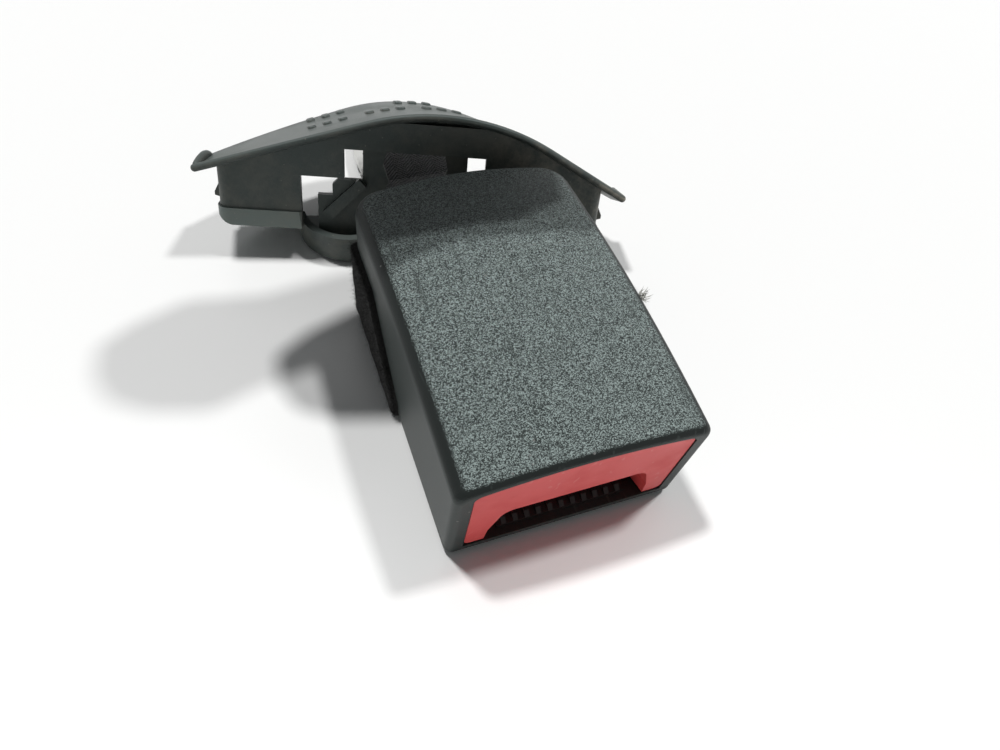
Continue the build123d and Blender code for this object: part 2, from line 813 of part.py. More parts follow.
# ---- anchor plate: flat steel, with a slot for the strap and a bolt eye ----
# its front edge is lifted by the fold round it, so it lies on the slant
anchor_length = anchor_hole_distance + anchor_eye_radius
anchor_tilt = asin((anchor_bar_z - anchor_thickness / 2) / anchor_length)
anchor_plane = Plane(
    (0, anchor_bar_y, anchor_bar_z), x_dir=(1, 0, 0), z_dir=(0, sin(anchor_tilt), cos(anchor_tilt))
)
slot_start = anchor_bar_width / 2
slot_end = anchor_loop_radius + strap_thickness + 0.6
with BuildPart() as anchor_plate:
    with BuildSketch(anchor_plane.offset(-anchor_thickness / 2)) as anchor_plan:
        with BuildLine():
            Polyline(
                (-anchor_width / 2, slot_end + 1.5),
                (-anchor_width / 2, -slot_start),
                (anchor_width / 2, -slot_start),
                (anchor_width / 2, slot_end + 1.5),
                (anchor_eye_radius, anchor_hole_distance),
                (-anchor_eye_radius, anchor_hole_distance),
                close=True,
            )
        make_face()
        with Locations((0, anchor_hole_distance)):
            Circle(anchor_eye_radius)
        fillet(anchor_plan.vertices().group_by(Axis.Y)[0], 1.8)
        with Locations((0, anchor_hole_distance)):
            Circle(anchor_hole_radius, mode=Mode.SUBTRACT)
        with Locations((0, (slot_start + slot_end) / 2)):
            Rectangle(anchor_slot_width, slot_end - slot_start, mode=Mode.SUBTRACT)
    extrude(amount=anchor_thickness)
    bar_edges = anchor_plate.edges().filter_by(Axis.X)
    fillet(bar_edges.filter_by(lambda e: e.center().Y < anchor_bar_y + slot_start + 0.3), 0.9)
anchor_plate.part.label = "anchor_plate"
export_step(anchor_plate.part, "parts/anchor_plate.step")


# ---- trim bezel: an arched flange with a skirt under it ----
def leaned(vector):
    """A direction in the trim's own frame, turned to how the trim stands on the stalk."""
    return (
        Vector(*vector)
        .rotate(Axis.Y, trim_roll)
        .rotate(Axis.X, trim_pitch)
        .rotate(Axis.Z, trim_yaw)
    )


trim_apex = Vector(trim_x, trim_y, trim_z)
across, along, upward = leaned((1, 0, 0)), leaned((0, 1, 0)), leaned((0, 0, 1))
trim_front = Plane(trim_apex, x_dir=across, z_dir=-along)  # sketches here are (across, up)
trim_side = Plane(trim_apex, x_dir=along, z_dir=across)  # sketches here are (along, up)
trim_plan = Plane(trim_apex, x_dir=across, z_dir=upward)  # sketches here are (across, along)


# The flange is drawn out along this, askew of the skirt and falling to the rear.
flange_run = leaned((-tan(radians(flange_skew)), 1, -tan(radians(flange_fall))))


def flange_line(drop, beyond):
    """The flange's near edge, two slopes with a wide bend between them, drop below its top.

    It runs past the flange's ends by beyond.
    """
    peak = flange_peak_rise - drop
    left, right = -flange_left - beyond, flange_right + beyond
    with BuildLine() as line:
        FilletPolyline(
            (left, peak - (flange_peak_x - left) * tan(radians(flange_left_slope))),
            (flange_peak_x, peak),
            (right, peak - (right - flange_peak_x) * tan(radians(flange_right_slope))),
            radius=flange_bend,
        )
    return line.wires()[0]


def flange_slab(top, bottom):
    """The band between two drops below the flange's near edge, wider than the flange."""
    beyond = flange_depth / 2
    upper, lower = flange_line(top, beyond), flange_line(bottom, beyond)
    with BuildSketch() as slab:
        with BuildLine():
            add([upper, lower])
            Line(upper @ 0, lower @ 0)
            Line(upper @ 1, lower @ 1)
        make_face()
    return slab.sketch


with BuildPart() as above_flange:
    with BuildSketch(trim_front):
        add(flange_slab(-2 * flange_depth, sheet_drop + flange_thickness / 2))
    extrude(amount=2 * flange_depth, dir=flange_run, both=True)


def skirt_outline(inset):
    """The skirt seen from above, inset from its outside."""
    half = skirt_width / 2 - inset
    near, far, end = skirt_front + inset, skirt_depth - inset, skirt_end_depth - inset
    with BuildSketch() as outline:
        with BuildLine():
            Line((-half, near), (half, near))
            Line((half, near), (half, end))
            ThreePointArc((half, end), (0, far), (-half, end))
            Line((-half, end), (-half, near))
        make_face()
        fillet(outline.vertices(), max(3.0 - inset, 1.0))
    return outline.sketch


def skirt_side(above_band):
    """The skirt seen from its end: its sole slopes up to the rear edge it stands on."""
    lift = band_height if above_band else 0
    with BuildSketch() as side:
        Polygon(
            (-5, 0),
            (-5, -skirt_drop + lift),
            (skirt_depth + 5, -skirt_rear_drop + lift),
            (skirt_depth + 5, 0),
            align=None,
        )
    return side.sketch


reach = 2 * skirt_width
with BuildPart() as skirt:
    with BuildSketch(trim_plan):
        add(skirt_outline(0))
    extrude(amount=-1.5 * skirt_drop)
    with BuildSketch(trim_side):
        add(skirt_side(False))
    extrude(amount=reach, both=True, mode=Mode.INTERSECT)
    # the sole's corners are rounded, seen from the front
    with BuildSketch(trim_front) as front_view:
        with Locations((0, -skirt_drop / 2)):
            Rectangle(skirt_width + 2, skirt_drop)
        fillet(front_view.vertices().group_by(Axis.Y)[0], band_corner)
    extrude(amount=reach, both=True, mode=Mode.INTERSECT)
    # above the band the wall steps in, so that the band stands proud
    with BuildSketch(trim_plan):
        Rectangle(reach, reach)
        add(skirt_outline(band_proud), mode=Mode.SUBTRACT)
    extrude(amount=-(skirt_rear_drop - band_height), mode=Mode.SUBTRACT)
    with BuildSketch(trim_plan):
        add(skirt_outline(skirt_wall + band_proud))
    extrude(amount=-2 * skirt_drop, mode=Mode.SUBTRACT)
    add(above_flange.part, mode=Mode.SUBTRACT)

with BuildPart() as trim_bezel:
    with BuildSketch(trim_front):
        add(flange_slab(sheet_drop, sheet_drop + flange_thickness))
    extrude(amount=2 * flange_depth, dir=flange_run)
    with BuildSketch(trim_plan):
        with BuildLine():
            Line((-flange_left, flange_end_depth), (-flange_left, 0))
            Line((-flange_left, 0), (flange_right, 0))
            Line((flange_right, 0), (flange_right, flange_end_depth))
            ThreePointArc(
                (flange_right, flange_end_depth), (0, flange_depth), (-flange_left, flange_end_depth)
            )
        make_face()
    extrude(amount=2 * flange_depth, both=True, mode=Mode.INTERSECT)
    # a round bead along the near edge and back along both ends
    near_edge = trim_front.from_local_coords(flange_line(bead_radius, 0))
    with BuildSketch(Plane(near_edge @ 0, z_dir=near_edge % 0)):
        Circle(bead_radius)
    sweep(path=near_edge)
    bead_back = (along - upward * tan(radians(flange_fall))).normalized()
    for corner in (near_edge @ 0, near_edge @ 1):
        with BuildSketch(Plane(corner, z_dir=bead_back)):
            Circle(bead_radius)
        extrude(amount=flange_end_depth)
        with Locations(corner, corner + bead_back * flange_end_depth):
            Sphere(bead_radius)
    add(skirt.part)
    # the stepped opening that the stalk comes out of
    half_wide, half_narrow = opening_width / 2, opening_top_width / 2
    with BuildSketch(trim_front):
        Polygon(
            (-half_wide, -2 * skirt_drop),
            (-half_wide, -opening_step_drop),
            (-half_narrow, -opening_step_drop),
            (-half_narrow, -opening_top_drop),
            (half_narrow, -opening_top_drop),
            (half_narrow, -opening_step_drop),
            (half_wide, -opening_step_drop),
            (half_wide, -2 * skirt_drop),
            align=None,
        )
    extrude(amount=-(skirt_front + skirt_wall + 2), mode=Mode.SUBTRACT)
    # the rear wall is open between its ends, over the strap and the anchor plate
    with BuildSketch(trim_front.offset(-skirt_end_depth + 2)) as rear_way:
        with Locations((0, -rear_opening_drop - skirt_drop)):
            Rectangle(rear_opening_width, 2 * skirt_drop)
        fillet(rear_way.vertices().group_by(Axis.Y)[-1], band_corner)
    extrude(amount=-flange_depth, mode=Mode.SUBTRACT)
    # a snap barb on each end wall
    for side in (-1, 1):
        with BuildSketch(trim_front.offset(-skirt_front - 4.0)):
            with Locations((side * (skirt_width / 2 - band_proud), -skirt_drop + band_height + 1.0)):
                Polygon(
                    (-side * 0.6, 0), (side * 1.3, 0.6), (side * 1.3, 1.4), (-side * 0.6, barb_height),
                    align=None,
                )
        extrude(amount=-6.0)
trim_bezel.part.label = "trim_bezel"
export_step(trim_bezel.part, "parts/trim_bezel.step")

# ---- strap guide: the throat inside the trim's opening, with a curved lip under the stalk ----
post_inner = guide_window_width / 2
post_outer = post_inner + guide_post_width
guide_half = post_outer + shoulder_width + shoulder_step


def guide_post(side, leg_width):
    """Half of the guide's wall: a wavy-edged post, a stepped shoulder and a leg to the floor."""
    foot = -post_foot_drop
    outline = [
        (post_inner, flange_peak_rise),
        (post_outer, flange_peak_rise),
        (post_outer, -shoulder_drop),
        (post_outer + shoulder_width - 1.2, -shoulder_drop),
        (post_outer + shoulder_width, -shoulder_drop - 1.2),
        (post_outer + shoulder_width, -shoulder_step_drop),
        (guide_half, -shoulder_step_drop),
        (guide_half, -2 * skirt_drop),
        (guide_half - leg_width, -2 * skirt_drop),
        (guide_half - leg_width, foot),
        (post_inner + 0.4, foot),
        (post_inner - 0.9, foot + 4.0),
        (post_inner + 0.3, foot + 7.5),
        (post_inner - 0.5, foot + 11.0),
    ]
    return [(side * across_by, up_by) for across_by, up_by in outline]


with BuildPart() as strap_guide:
    with BuildSketch(trim_front.offset(-guide_setback)):
        Polygon(*guide_post(-1, left_leg_width), align=None)
        Polygon(*guide_post(1, right_leg_width), align=None)
    extrude(amount=-guide_wall)
    # a diagonal rib stiffens the left shoulder
    with BuildSketch(trim_front.offset(-guide_setback)):
        Polygon(
            (-post_outer - 8.6, -post_foot_drop - 3.2),
            (-post_outer - 0.8, -shoulder_drop + 0.6),
            (-post_outer + 0.8, -shoulder_drop - 1.0),
            (-post_outer - 6.4, -post_foot_drop - 4.6),
            align=None,
        )
    extrude(amount=1.6)
    # the lip and the floor behind it
    with BuildSketch(Plane((0, head_length / 2, guide_floor))):
        with BuildLine():
            ThreePointArc(lip_left, lip_turn, lip_near_left)
            Polyline(lip_near_left, lip_near_right, lip_right)
            offset(amount=-guide_wall / 2, side=Side.BOTH)
        make_face()
    extrude(amount=guide_lip_top - guide_floor)
    with BuildSketch(Plane((0, head_length / 2, guide_floor))):
        with BuildLine():
            ThreePointArc(lip_left, lip_turn, lip_near_left)
            Polyline(lip_near_left, lip_near_right, lip_right)
            Polyline(lip_right, (lip_right[0], floor_rear_right), (lip_left[0], floor_rear_left), lip_left)
        make_face()
    extrude(amount=guide_wall)
    split(bisect_by=Plane.XY.offset(guide_floor), keep=Keep.TOP)
    add(above_flange.part, mode=Mode.SUBTRACT)
    add(trim_bezel.part, mode=Mode.SUBTRACT)
strap_guide.part.label = "strap_guide"
export_step(strap_guide.part, "parts/strap_guide.step")
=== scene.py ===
"""A seat belt buckle on its webbing stalk: covers, red release button, latch frame, felt side
strips, arched trim bezel and anchor plate. Metres, in the frame of the CAD model: +X across the
head, +Y from the tongue slot back along the stalk, +Z up from the head's flat bottom."""

import bpy
import numpy as np
from mathutils import Matrix, Vector
from mathutils.bvhtree import BVHTree


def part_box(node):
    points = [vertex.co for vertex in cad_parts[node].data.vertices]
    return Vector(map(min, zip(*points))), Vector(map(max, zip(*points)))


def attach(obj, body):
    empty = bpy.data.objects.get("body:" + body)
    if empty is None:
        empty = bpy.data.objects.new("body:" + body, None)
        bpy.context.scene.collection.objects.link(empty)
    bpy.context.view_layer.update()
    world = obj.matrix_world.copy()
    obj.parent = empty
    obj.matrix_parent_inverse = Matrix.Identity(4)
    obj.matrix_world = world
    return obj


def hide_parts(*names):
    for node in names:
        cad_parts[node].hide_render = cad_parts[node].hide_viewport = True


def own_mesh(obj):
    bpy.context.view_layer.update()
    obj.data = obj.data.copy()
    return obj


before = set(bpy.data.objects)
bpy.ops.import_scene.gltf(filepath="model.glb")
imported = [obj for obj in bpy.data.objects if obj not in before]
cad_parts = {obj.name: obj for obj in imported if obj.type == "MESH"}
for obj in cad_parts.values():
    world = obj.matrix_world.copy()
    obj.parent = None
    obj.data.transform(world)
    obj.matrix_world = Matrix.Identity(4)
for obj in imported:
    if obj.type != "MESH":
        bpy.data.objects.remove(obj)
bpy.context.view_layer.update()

# ---- lower cover ----
# A shallow tray moulded in black polypropylene. Its outside has the same satin finish as the
# sides of the upper cover, which snaps down over it.


def node(tree, kind, given=None, **settings):
    """One shader node. settings are its own properties; given maps its inputs to values or outputs."""
    made = tree.nodes.new(kind)
    for name, value in settings.items():
        setattr(made, name, value)
    for where, value in (given or {}).items():
        if isinstance(value, bpy.types.NodeSocket):
            tree.links.new(value, made.inputs[where])
        else:
            made.inputs[where].default_value = value
    return made


def math(tree, operation, first, second=0.0, third=0.0):
    """The output of one Math node."""
    return node(tree, "ShaderNodeMath", {0: first, 1: second, 2: third}, operation=operation).outputs[0]


def ramp(tree, value, low, high, to_low=0.0, to_high=1.0):
    """value carried smoothly from the span low..high to the span to_low..to_high."""
    given = {"Value": value, "From Min": low, "From Max": high, "To Min": to_low, "To Max": to_high}
    return node(tree, "ShaderNodeMapRange", given, interpolation_type="SMOOTHSTEP").outputs[0]


def spot(tree):
    """The place on the piece that is being shaded, in the piece's own coordinates."""
    return node(tree, "ShaderNodeTexCoord").outputs["Object"]


def stretched(tree, where, scale, turn=(0.0, 0.0, 0.0)):
    """Coordinates turned and scaled along each axis, which draws a pattern out into lines."""
    return node(tree, "ShaderNodeMapping", {"Vector": where, "Rotation": turn, "Scale": scale}).outputs[0]


def noise(tree, where, scale, detail, **more):
    """The value of a noise pattern, 0 to 1, with scale waves to the metre."""
    given = {"Vector": where, "Scale": scale, "Detail": detail, **more}
    return node(tree, "ShaderNodeTexNoise", given).outputs[0]


def tint(tree, amount, first, second):
    """Colour first where amount is 0, and second where it is 1."""
    mixed = node(tree, "ShaderNodeMix", data_type="RGBA")
    for where, value in {"Factor": amount, "A": first, "B": second}.items():
        socket = next(s for s in mixed.inputs if s.name == where and (s.type == "RGBA" or where == "Factor"))
        if isinstance(value, bpy.types.NodeSocket):
            tree.links.new(value, socket)
        else:
            socket.default_value = value
    return next(s for s in mixed.outputs if s.type == "RGBA")


def rgb(red, green, blue):
    """A colour for a socket, from linear red, green and blue."""
    return (red, green, blue, 1.0)


def effect(name, inputs, outputs):
    """An empty node group: inputs are (name, value), outputs are names. All sockets are floats."""
    group = bpy.data.node_groups.new(name, "ShaderNodeTree")
    for label, value in inputs:
        socket = group.interface.new_socket(name=label, in_out="INPUT", socket_type="NodeSocketFloat")
        socket.default_value = value
    for label in outputs:
        group.interface.new_socket(name=label, in_out="OUTPUT", socket_type="NodeSocketFloat")
    return group, group.nodes.new("NodeGroupInput"), group.nodes.new("NodeGroupOutput")


def place(tree, group, **values):
    """A node group put into a material, with its inputs set by name."""
    return node(tree, "ShaderNodeGroup", values, node_tree=group)


def finish_of(name, **values):
    """A material with one Principled shader, whose plain inputs are set by name."""
    made = bpy.data.materials.new(name)
    made.use_nodes = True
    shader = made.node_tree.nodes["Principled BSDF"]
    for where, value in values.items():
        shader.inputs[where.replace("_", " ")].default_value = value
    return made, made.node_tree, shader


def paint(tree, shader, colour, rough=None):
    """Sends a colour, and a roughness where there is one, to the shader."""
    tree.links.new(colour, shader.inputs["Base Color"])
    if rough is not None:
        tree.links.new(rough, shader.inputs["Roughness"])


def relief(tree, shader, height, depth):
    """Sends a height map to the shader's normal; depth is the relief's real depth in metres."""
    bump = node(tree, "ShaderNodeBump", {"Strength": 1.0, "Distance": depth, "Height": height})
    tree.links.new(bump.outputs[0], shader.inputs["Normal"])


def dress(material, *names):
    """Gives CAD nodes this material."""
    for name in names:
        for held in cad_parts[name].material_slots:
            held.material = material


# spark-eroded grain: close-packed grains, each of its own height, so each catches the light alone
grain_inputs = [("Grain", 0.0004), ("Coarse", 0.5)]
grain, grain_in, grain_out = effect("moulded_grain", grain_inputs, ["Height", "Glint"])
grain_at = spot(grain)
grain_scale = math(grain, "DIVIDE", 1.0, grain_in.outputs["Grain"])
fine = noise(grain, grain_at, grain_scale, 2.0, Roughness=0.6)
cells = node(grain, "ShaderNodeTexVoronoi", {"Vector": grain_at, "Scale": grain_scale})
grain_tone = node(grain, "ShaderNodeSeparateColor", {0: cells.outputs["Color"]}).outputs[0]
pits = math(grain, "MULTIPLY", cells.outputs["Distance"], grain_in.outputs["Coarse"])
grain.links.new(math(grain, "SUBTRACT", fine, pits), grain_out.inputs["Height"])
grain.links.new(ramp(grain, grain_tone, 0.25, 1.0, 0.06, 1.0), grain_out.inputs["Glint"])

# handling: broad, faint smears and a few fine scratches that change the gloss
handling, handling_in, handling_out = effect("handling", [("Smear", 0.02)], ["Smear", "Scratch"])
handling_at = spot(handling)
smear_scale = math(handling, "DIVIDE", 1.0, handling_in.outputs["Smear"])
smear = noise(handling, handling_at, smear_scale, 4.0)
drawn = stretched(handling, handling_at, (900.0, 60.0, 500.0), (0.3, 0.2, 0.6))
scratch = noise(handling, drawn, 1.0, 1.0)
handling.links.new(ramp(handling, smear, 0.35, 0.7), handling_out.inputs["Smear"])
handling.links.new(ramp(handling, scratch, 0.66, 0.74), handling_out.inputs["Scratch"])

satin_black = rgb(0.022, 0.0275, 0.0260)
satin_pale = rgb(0.045, 0.054, 0.051)
cool = rgb(0.90, 1.0, 0.98)  # the faint blue-green that black mouldings reflect
satin, satin_tree, satin_shader = finish_of("cover_satin", Specular_IOR_Level=0.2, Specular_Tint=cool)
satin_grain = place(satin_tree, grain, Grain=0.00022, Coarse=0.3)
satin_use = place(satin_tree, handling, Smear=0.016)
satin_colour = tint(satin_tree, satin_use.outputs["Scratch"], satin_black, satin_pale)
satin_rough = ramp(satin_tree, satin_use.outputs["Smear"], 0.0, 1.0, 0.44, 0.54)
paint(satin_tree, satin_shader, satin_colour, satin_rough)
relief(satin_tree, satin_shader, satin_grain.outputs["Height"], 0.00002)
dress(satin, "lower_cover")

# ---- steel frame, strap bar and pins ----
# The frame is blanked and folded from zinc plated sheet. The bar that the webbing is folded round,
# the latch's pin and the lock's pin are turned steel; the bar is riveted through the frame.
zinc, zinc_tree, zinc_shader = finish_of("zinc_plate", Metallic=1.0)
zinc_use = place(zinc_tree, handling, Smear=0.006)
spangle_given = {"Vector": spot(zinc_tree), "Scale": 420.0}
spangle = node(zinc_tree, "ShaderNodeTexVoronoi", spangle_given, feature="SMOOTH_F1")
zinc_colour = tint(zinc_tree, spangle.outputs["Distance"], rgb(0.42, 0.43, 0.42), rgb(0.60, 0.60, 0.57))
zinc_rough = ramp(zinc_tree, zinc_use.outputs["Smear"], 0.0, 1.0, 0.3, 0.46)
paint(zinc_tree, zinc_shader, zinc_colour, zinc_rough)
relief(zinc_tree, zinc_shader, zinc_use.outputs["Scratch"], 0.00001)
dress(zinc, "base_frame")

turned, turned_tree, turned_shader = finish_of("turned_steel", Metallic=1.0)
turned_rings = stretched(turned_tree, spot(turned_tree), (9000.0, 40.0, 40.0))
lathe = noise(turned_tree, turned_rings, 1.0, 2.0)
turned_colour = tint(turned_tree, lathe, rgb(0.50, 0.50, 0.49), rgb(0.68, 0.68, 0.66))
turned_rough = ramp(turned_tree, lathe, 0.3, 0.7, 0.2, 0.34)
paint(turned_tree, turned_shader, turned_colour, turned_rough)
relief(turned_tree, turned_shader, lathe, 0.000004)
dress(turned, "strap_bar", "latch_pivot_pin", "lock_pin")

# ---- latch plate ----
# Fine blanked from thick strip and hardened, so it is darker than the frame, with rolled grain
# along its length and a burnished nose.
nose_end = -0.0062  # the nose is rubbed bright from here back to nose_root
nose_root = -0.0045
hard, hard_tree, hard_shader = finish_of("hardened_plate", Metallic=1.0)
hard_at = spot(hard_tree)
rolled = noise(hard_tree, stretched(hard_tree, hard_at, (5000.0, 160.0, 5000.0)), 1.0, 3.0)
nose_along = node(hard_tree, "ShaderNodeSeparateXYZ", {0: hard_at}).outputs["Y"]
burnish = ramp(hard_tree, nose_along, nose_end, nose_root, 1.0, 0.0)
hard_base = tint(hard_tree, rolled, rgb(0.20, 0.20, 0.21), rgb(0.32, 0.32, 0.31))
hard_colour = tint(hard_tree, burnish, hard_base, rgb(0.62, 0.61, 0.58))
hard_rough = ramp(hard_tree, burnish, 0.0, 1.0, 0.42, 0.2)
paint(hard_tree, hard_shader, hard_colour, hard_rough)
relief(hard_tree, hard_shader, rolled, 0.000006)
dress(hard, "latch_plate")

# ---- lock slider and spring bridge ----
# Both are moulded in unfilled nylon, slightly yellow and waxy, with soft sink marks. The slider
# runs in the frame under the bridge, which snaps on top of it.
nylon, nylon_tree, nylon_shader = finish_of("natural_nylon", Subsurface_Weight=0.15, Subsurface_Scale=0.002)
nylon_use = place(nylon_tree, handling, Smear=0.008)
nylon_grain = place(nylon_tree, grain, Grain=0.0005, Coarse=0.4)
nylon_colour = tint(nylon_tree, nylon_use.outputs["Smear"], rgb(0.66, 0.63, 0.54), rgb(0.56, 0.52, 0.42))
nylon_rough = ramp(nylon_tree, nylon_use.outputs["Smear"], 0.0, 1.0, 0.36, 0.5)
paint(nylon_tree, nylon_shader, nylon_colour, nylon_rough)
relief(nylon_tree, nylon_shader, nylon_grain.outputs["Height"], 0.00001)
dress(nylon, "lock_slider", "spring_bridge")

# ---- ejector ----
# A black acetal slider in the floor of the frame. The tongue pushes it back against its spring,
# and its edge polishes it bright.
acetal_black = rgb(0.012, 0.012, 0.013)
acetal_worn = rgb(0.05, 0.05, 0.05)
acetal, acetal_tree, acetal_shader = finish_of("black_acetal")
acetal_use = place(acetal_tree, handling, Smear=0.004)
acetal_grain = place(acetal_tree, grain, Grain=0.0003, Coarse=0.4)
acetal_colour = tint(acetal_tree, acetal_use.outputs["Scratch"], acetal_black, acetal_worn)
acetal_rough = ramp(acetal_tree, acetal_use.outputs["Smear"], 0.0, 1.0, 0.25, 0.42)
paint(acetal_tree, acetal_shader, acetal_colour, acetal_rough)
relief(acetal_tree, acetal_shader, acetal_grain.outputs["Height"], 0.000008)
dress(acetal, "ejector")

# ---- coil springs ----
# Drawn music wire, oiled, with fine draw lines and a straw tint from stress relieving. The ends
# are closed, so each spring sits flat.
wire_sides = 12  # flats round the wire
turn_steps = 28  # steps in each turn
wire, wire_tree, wire_shader = finish_of("spring_wire", Metallic=1.0)
wire_use = place(wire_tree, handling, Smear=0.003)
wire_colour = tint(wire_tree, wire_use.outputs["Smear"], rgb(0.46, 0.44, 0.40), rgb(0.30, 0.27, 0.22))
wire_rough = ramp(wire_tree, wire_use.outputs["Smear"], 0.0, 1.0, 0.22, 0.38)
paint(wire_tree, wire_shader, wire_colour, wire_rough)
relief(wire_tree, wire_shader, wire_use.outputs["Scratch"], 0.000004)
dress(wire, "latch_spring")


def grid_object(name, points, material, wrap_rows=False, wrap_columns=False, **values):
    """A mesh from a rows x columns x 3 array of points, closed in either direction if asked.

    values are rows x columns arrays, kept as float attributes of the points.
    """
    rows, columns = points.shape[:2]
    index = np.arange(rows * columns).reshape(rows, columns)
    if wrap_rows:
        index = np.vstack([index, index[:1]])
    if wrap_columns:
        index = np.hstack([index, index[:, :1]])
    corners = [index[:-1, :-1], index[1:, :-1], index[1:, 1:], index[:-1, 1:]]
    quads = np.stack(corners, axis=-1).reshape(-1, 4)
    mesh = bpy.data.meshes.new(name)
    mesh.from_pydata(points.reshape(-1, 3).tolist(), [], quads.tolist())
    mesh.polygons.foreach_set("use_smooth", np.ones(len(quads), dtype=bool))
    for label, value in values.items():
        kept = mesh.attributes.new(label, "FLOAT", "POINT")
        kept.data.foreach_set("value", value.astype(np.float32).ravel())
    made = bpy.data.objects.new(name, mesh)
    bpy.context.scene.collection.objects.link(made)
    mesh.materials.append(material)
    return made


def coil_spring(name, wire_radius, turns):
    """A round wire on a helix along Y, with one closed turn at each end.

    The wire's centre is at (c cos a, y, c sin a) about the axis: the angle a is 2 pi times the turn,
    and y is a line of the turn that is steep between the closed turns.
    """
    low, high = np.array(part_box(name))
    centre = (low + high) / 2
    coil_radius = (high[0] - low[0]) / 2 - wire_radius
    length = high[1] - low[1]
    shut = 2 * wire_radius
    turn = np.linspace(0, turns, turn_steps * turns + 1)
    rise = np.interp(turn, (0, 1, turns - 1, turns), (0, shut, length - 2 * shut, length - shut))
    y = low[1] + wire_radius + rise
    angle = 2 * np.pi * turn
    middle = np.stack([coil_radius * np.cos(angle), y, coil_radius * np.sin(angle)], axis=-1)
    out = np.stack([np.cos(angle), np.zeros_like(angle), np.sin(angle)], axis=-1)
    ring = np.linspace(0, 2 * np.pi, wire_sides, endpoint=False)
    taper = np.where((turn == 0) | (turn == turns), 0.0, 1.0)[:, None, None] * wire_radius
    around = out[:, None, :] * np.cos(ring)[:, None] + np.array([0.0, 1.0, 0.0]) * np.sin(ring)[:, None]
    points = middle[:, None, :] + around * taper + (centre[0], 0.0, centre[2])
    spring = grid_object(name + "_wire", points, wire, wrap_columns=True)
    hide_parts(name)
    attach(spring, "head")
    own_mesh(spring)


coil_spring("button_spring_left", 0.00025, 6)
coil_spring("button_spring_right", 0.00025, 6)
coil_spring("ejector_spring", 0.00035, 7)

# ---- tongue guide ----
# The ribbed ramp in the slot, moulded in dark brown acetal. It leads the tongue's blade in, and
# the blade rubs the ribs' tops grey.
rib_foot = 0.0055  # the rubbing fades in from here up to rib_top
rib_top = 0.0063
ramp_brown, ramp_tree, ramp_shader = finish_of("ribbed_ramp", Specular_IOR_Level=0.15)
ramp_use = place(ramp_tree, handling, Smear=0.003)
ramp_up = node(ramp_tree, "ShaderNodeSeparateXYZ", {0: spot(ramp_tree)}).outputs["Z"]
rubbed = math(ramp_tree, "MULTIPLY", ramp(ramp_tree, ramp_up, rib_foot, rib_top), ramp_use.outputs["Smear"])
ramp_colour = tint(ramp_tree, rubbed, rgb(0.012, 0.008, 0.0075), rgb(0.05, 0.045, 0.042))
ramp_rough = ramp(ramp_tree, rubbed, 0.0, 1.0, 0.5, 0.32)
paint(ramp_tree, ramp_shader, ramp_colour, ramp_rough)
relief(ramp_tree, ramp_shader, ramp_use.outputs["Scratch"], 0.00001)
dress(ramp_brown, "tongue_guide")

# ---- release button ----
# An arch moulded in dark red ABS, flush and smooth in front, with a faint orange peel and the
# soft scuffs that thumbs leave.
red, red_tree, red_shader = finish_of("button_red", Specular_IOR_Level=0.3)
red_use = place(red_tree, handling, Smear=0.009)
red_peel = place(red_tree, grain, Grain=0.0011, Coarse=0.2)
red_base = tint(red_tree, red_use.outputs["Smear"], rgb(0.80, 0.098, 0.096), rgb(0.72, 0.084, 0.082))
red_scuff = math(red_tree, "MULTIPLY", red_use.outputs["Scratch"], 0.4)
red_colour = tint(red_tree, red_scuff, red_base, rgb(0.82, 0.24, 0.22))
red_rough = ramp(red_tree, red_use.outputs["Smear"], 0.0, 1.0, 0.42, 0.54)
paint(red_tree, red_shader, red_colour, red_rough)
relief(red_tree, red_shader, red_peel.outputs["Height"], 0.000012)
dress(red, "release_button")

# ---- upper cover ----
# The deep shell. Its top is spark-eroded to a coarse glittering grain that fades out over the
# rounds, and its sides and the rim round the button are left satin. The grain's glitter is partly
# painted: its pale flecks are painted highlights, and the rounds carry a painted shade.

# dust: a few lone pale specks, and a thin film that lies unevenly
dust, dust_in, dust_out = effect("dust", [("Amount", 0.5), ("Speck", 0.0009)], ["Film", "Specks"])
dust_at = spot(dust)
speck_scale = math(dust, "DIVIDE", 1.0, dust_in.outputs["Speck"])
specks = node(dust, "ShaderNodeTexVoronoi", {"Vector": dust_at, "Scale": speck_scale, "Randomness": 1.0})
speck = ramp(dust, specks.outputs["Distance"], 0.1, 0.16, 1.0, 0.0)
speck_tone = node(dust, "ShaderNodeSeparateColor", {0: specks.outputs["Color"]}).outputs[0]
lone = math(dust, "MULTIPLY", speck, math(dust, "GREATER_THAN", speck_tone, 0.86))
film = ramp(dust, noise(dust, dust_at, 90.0, 6.0, Roughness=0.7), 0.36, 0.72)
dust.links.new(math(dust, "MULTIPLY", film, dust_in.outputs["Amount"]), dust_out.inputs["Film"])
dust.links.new(math(dust, "MULTIPLY", lone, dust_in.outputs["Amount"]), dust_out.inputs["Specks"])

shell_black = rgb(0.034, 0.041, 0.039)  # the satin walls
shell_round_shade = rgb(0.009, 0.011, 0.0105)  # the rounds between them and the top, painted darker: painted shade, for the dark room they reflect
# the pale flecks are painted highlights: they stand in for the glints that the grain's facets throw
shell_glint_paint = rgb(0.35, 0.42, 0.405)
shell_dusty = rgb(0.30, 0.30, 0.29)
grain_from = 0.84  # the grain begins where the way out of the surface rises this much,
grain_full = 0.975  # and is whole from here on
shell, shell_tree, shell_shader = finish_of("cover_grained", Specular_IOR_Level=0.18, Specular_Tint=cool)
shell_facing = node(shell_tree, "ShaderNodeNewGeometry").outputs["True Normal"]
shell_up = node(shell_tree, "ShaderNodeSeparateXYZ", {0: shell_facing}).outputs["Z"]
grained = ramp(shell_tree, shell_up, grain_from, grain_full)
coarse = place(shell_tree, grain, Grain=0.00015, Coarse=0.9)
smooth = place(shell_tree, grain, Grain=0.00022, Coarse=0.3)
shell_use = place(shell_tree, handling, Smear=0.018)
shell_dust = place(shell_tree, dust, Amount=0.5, Speck=0.0016)
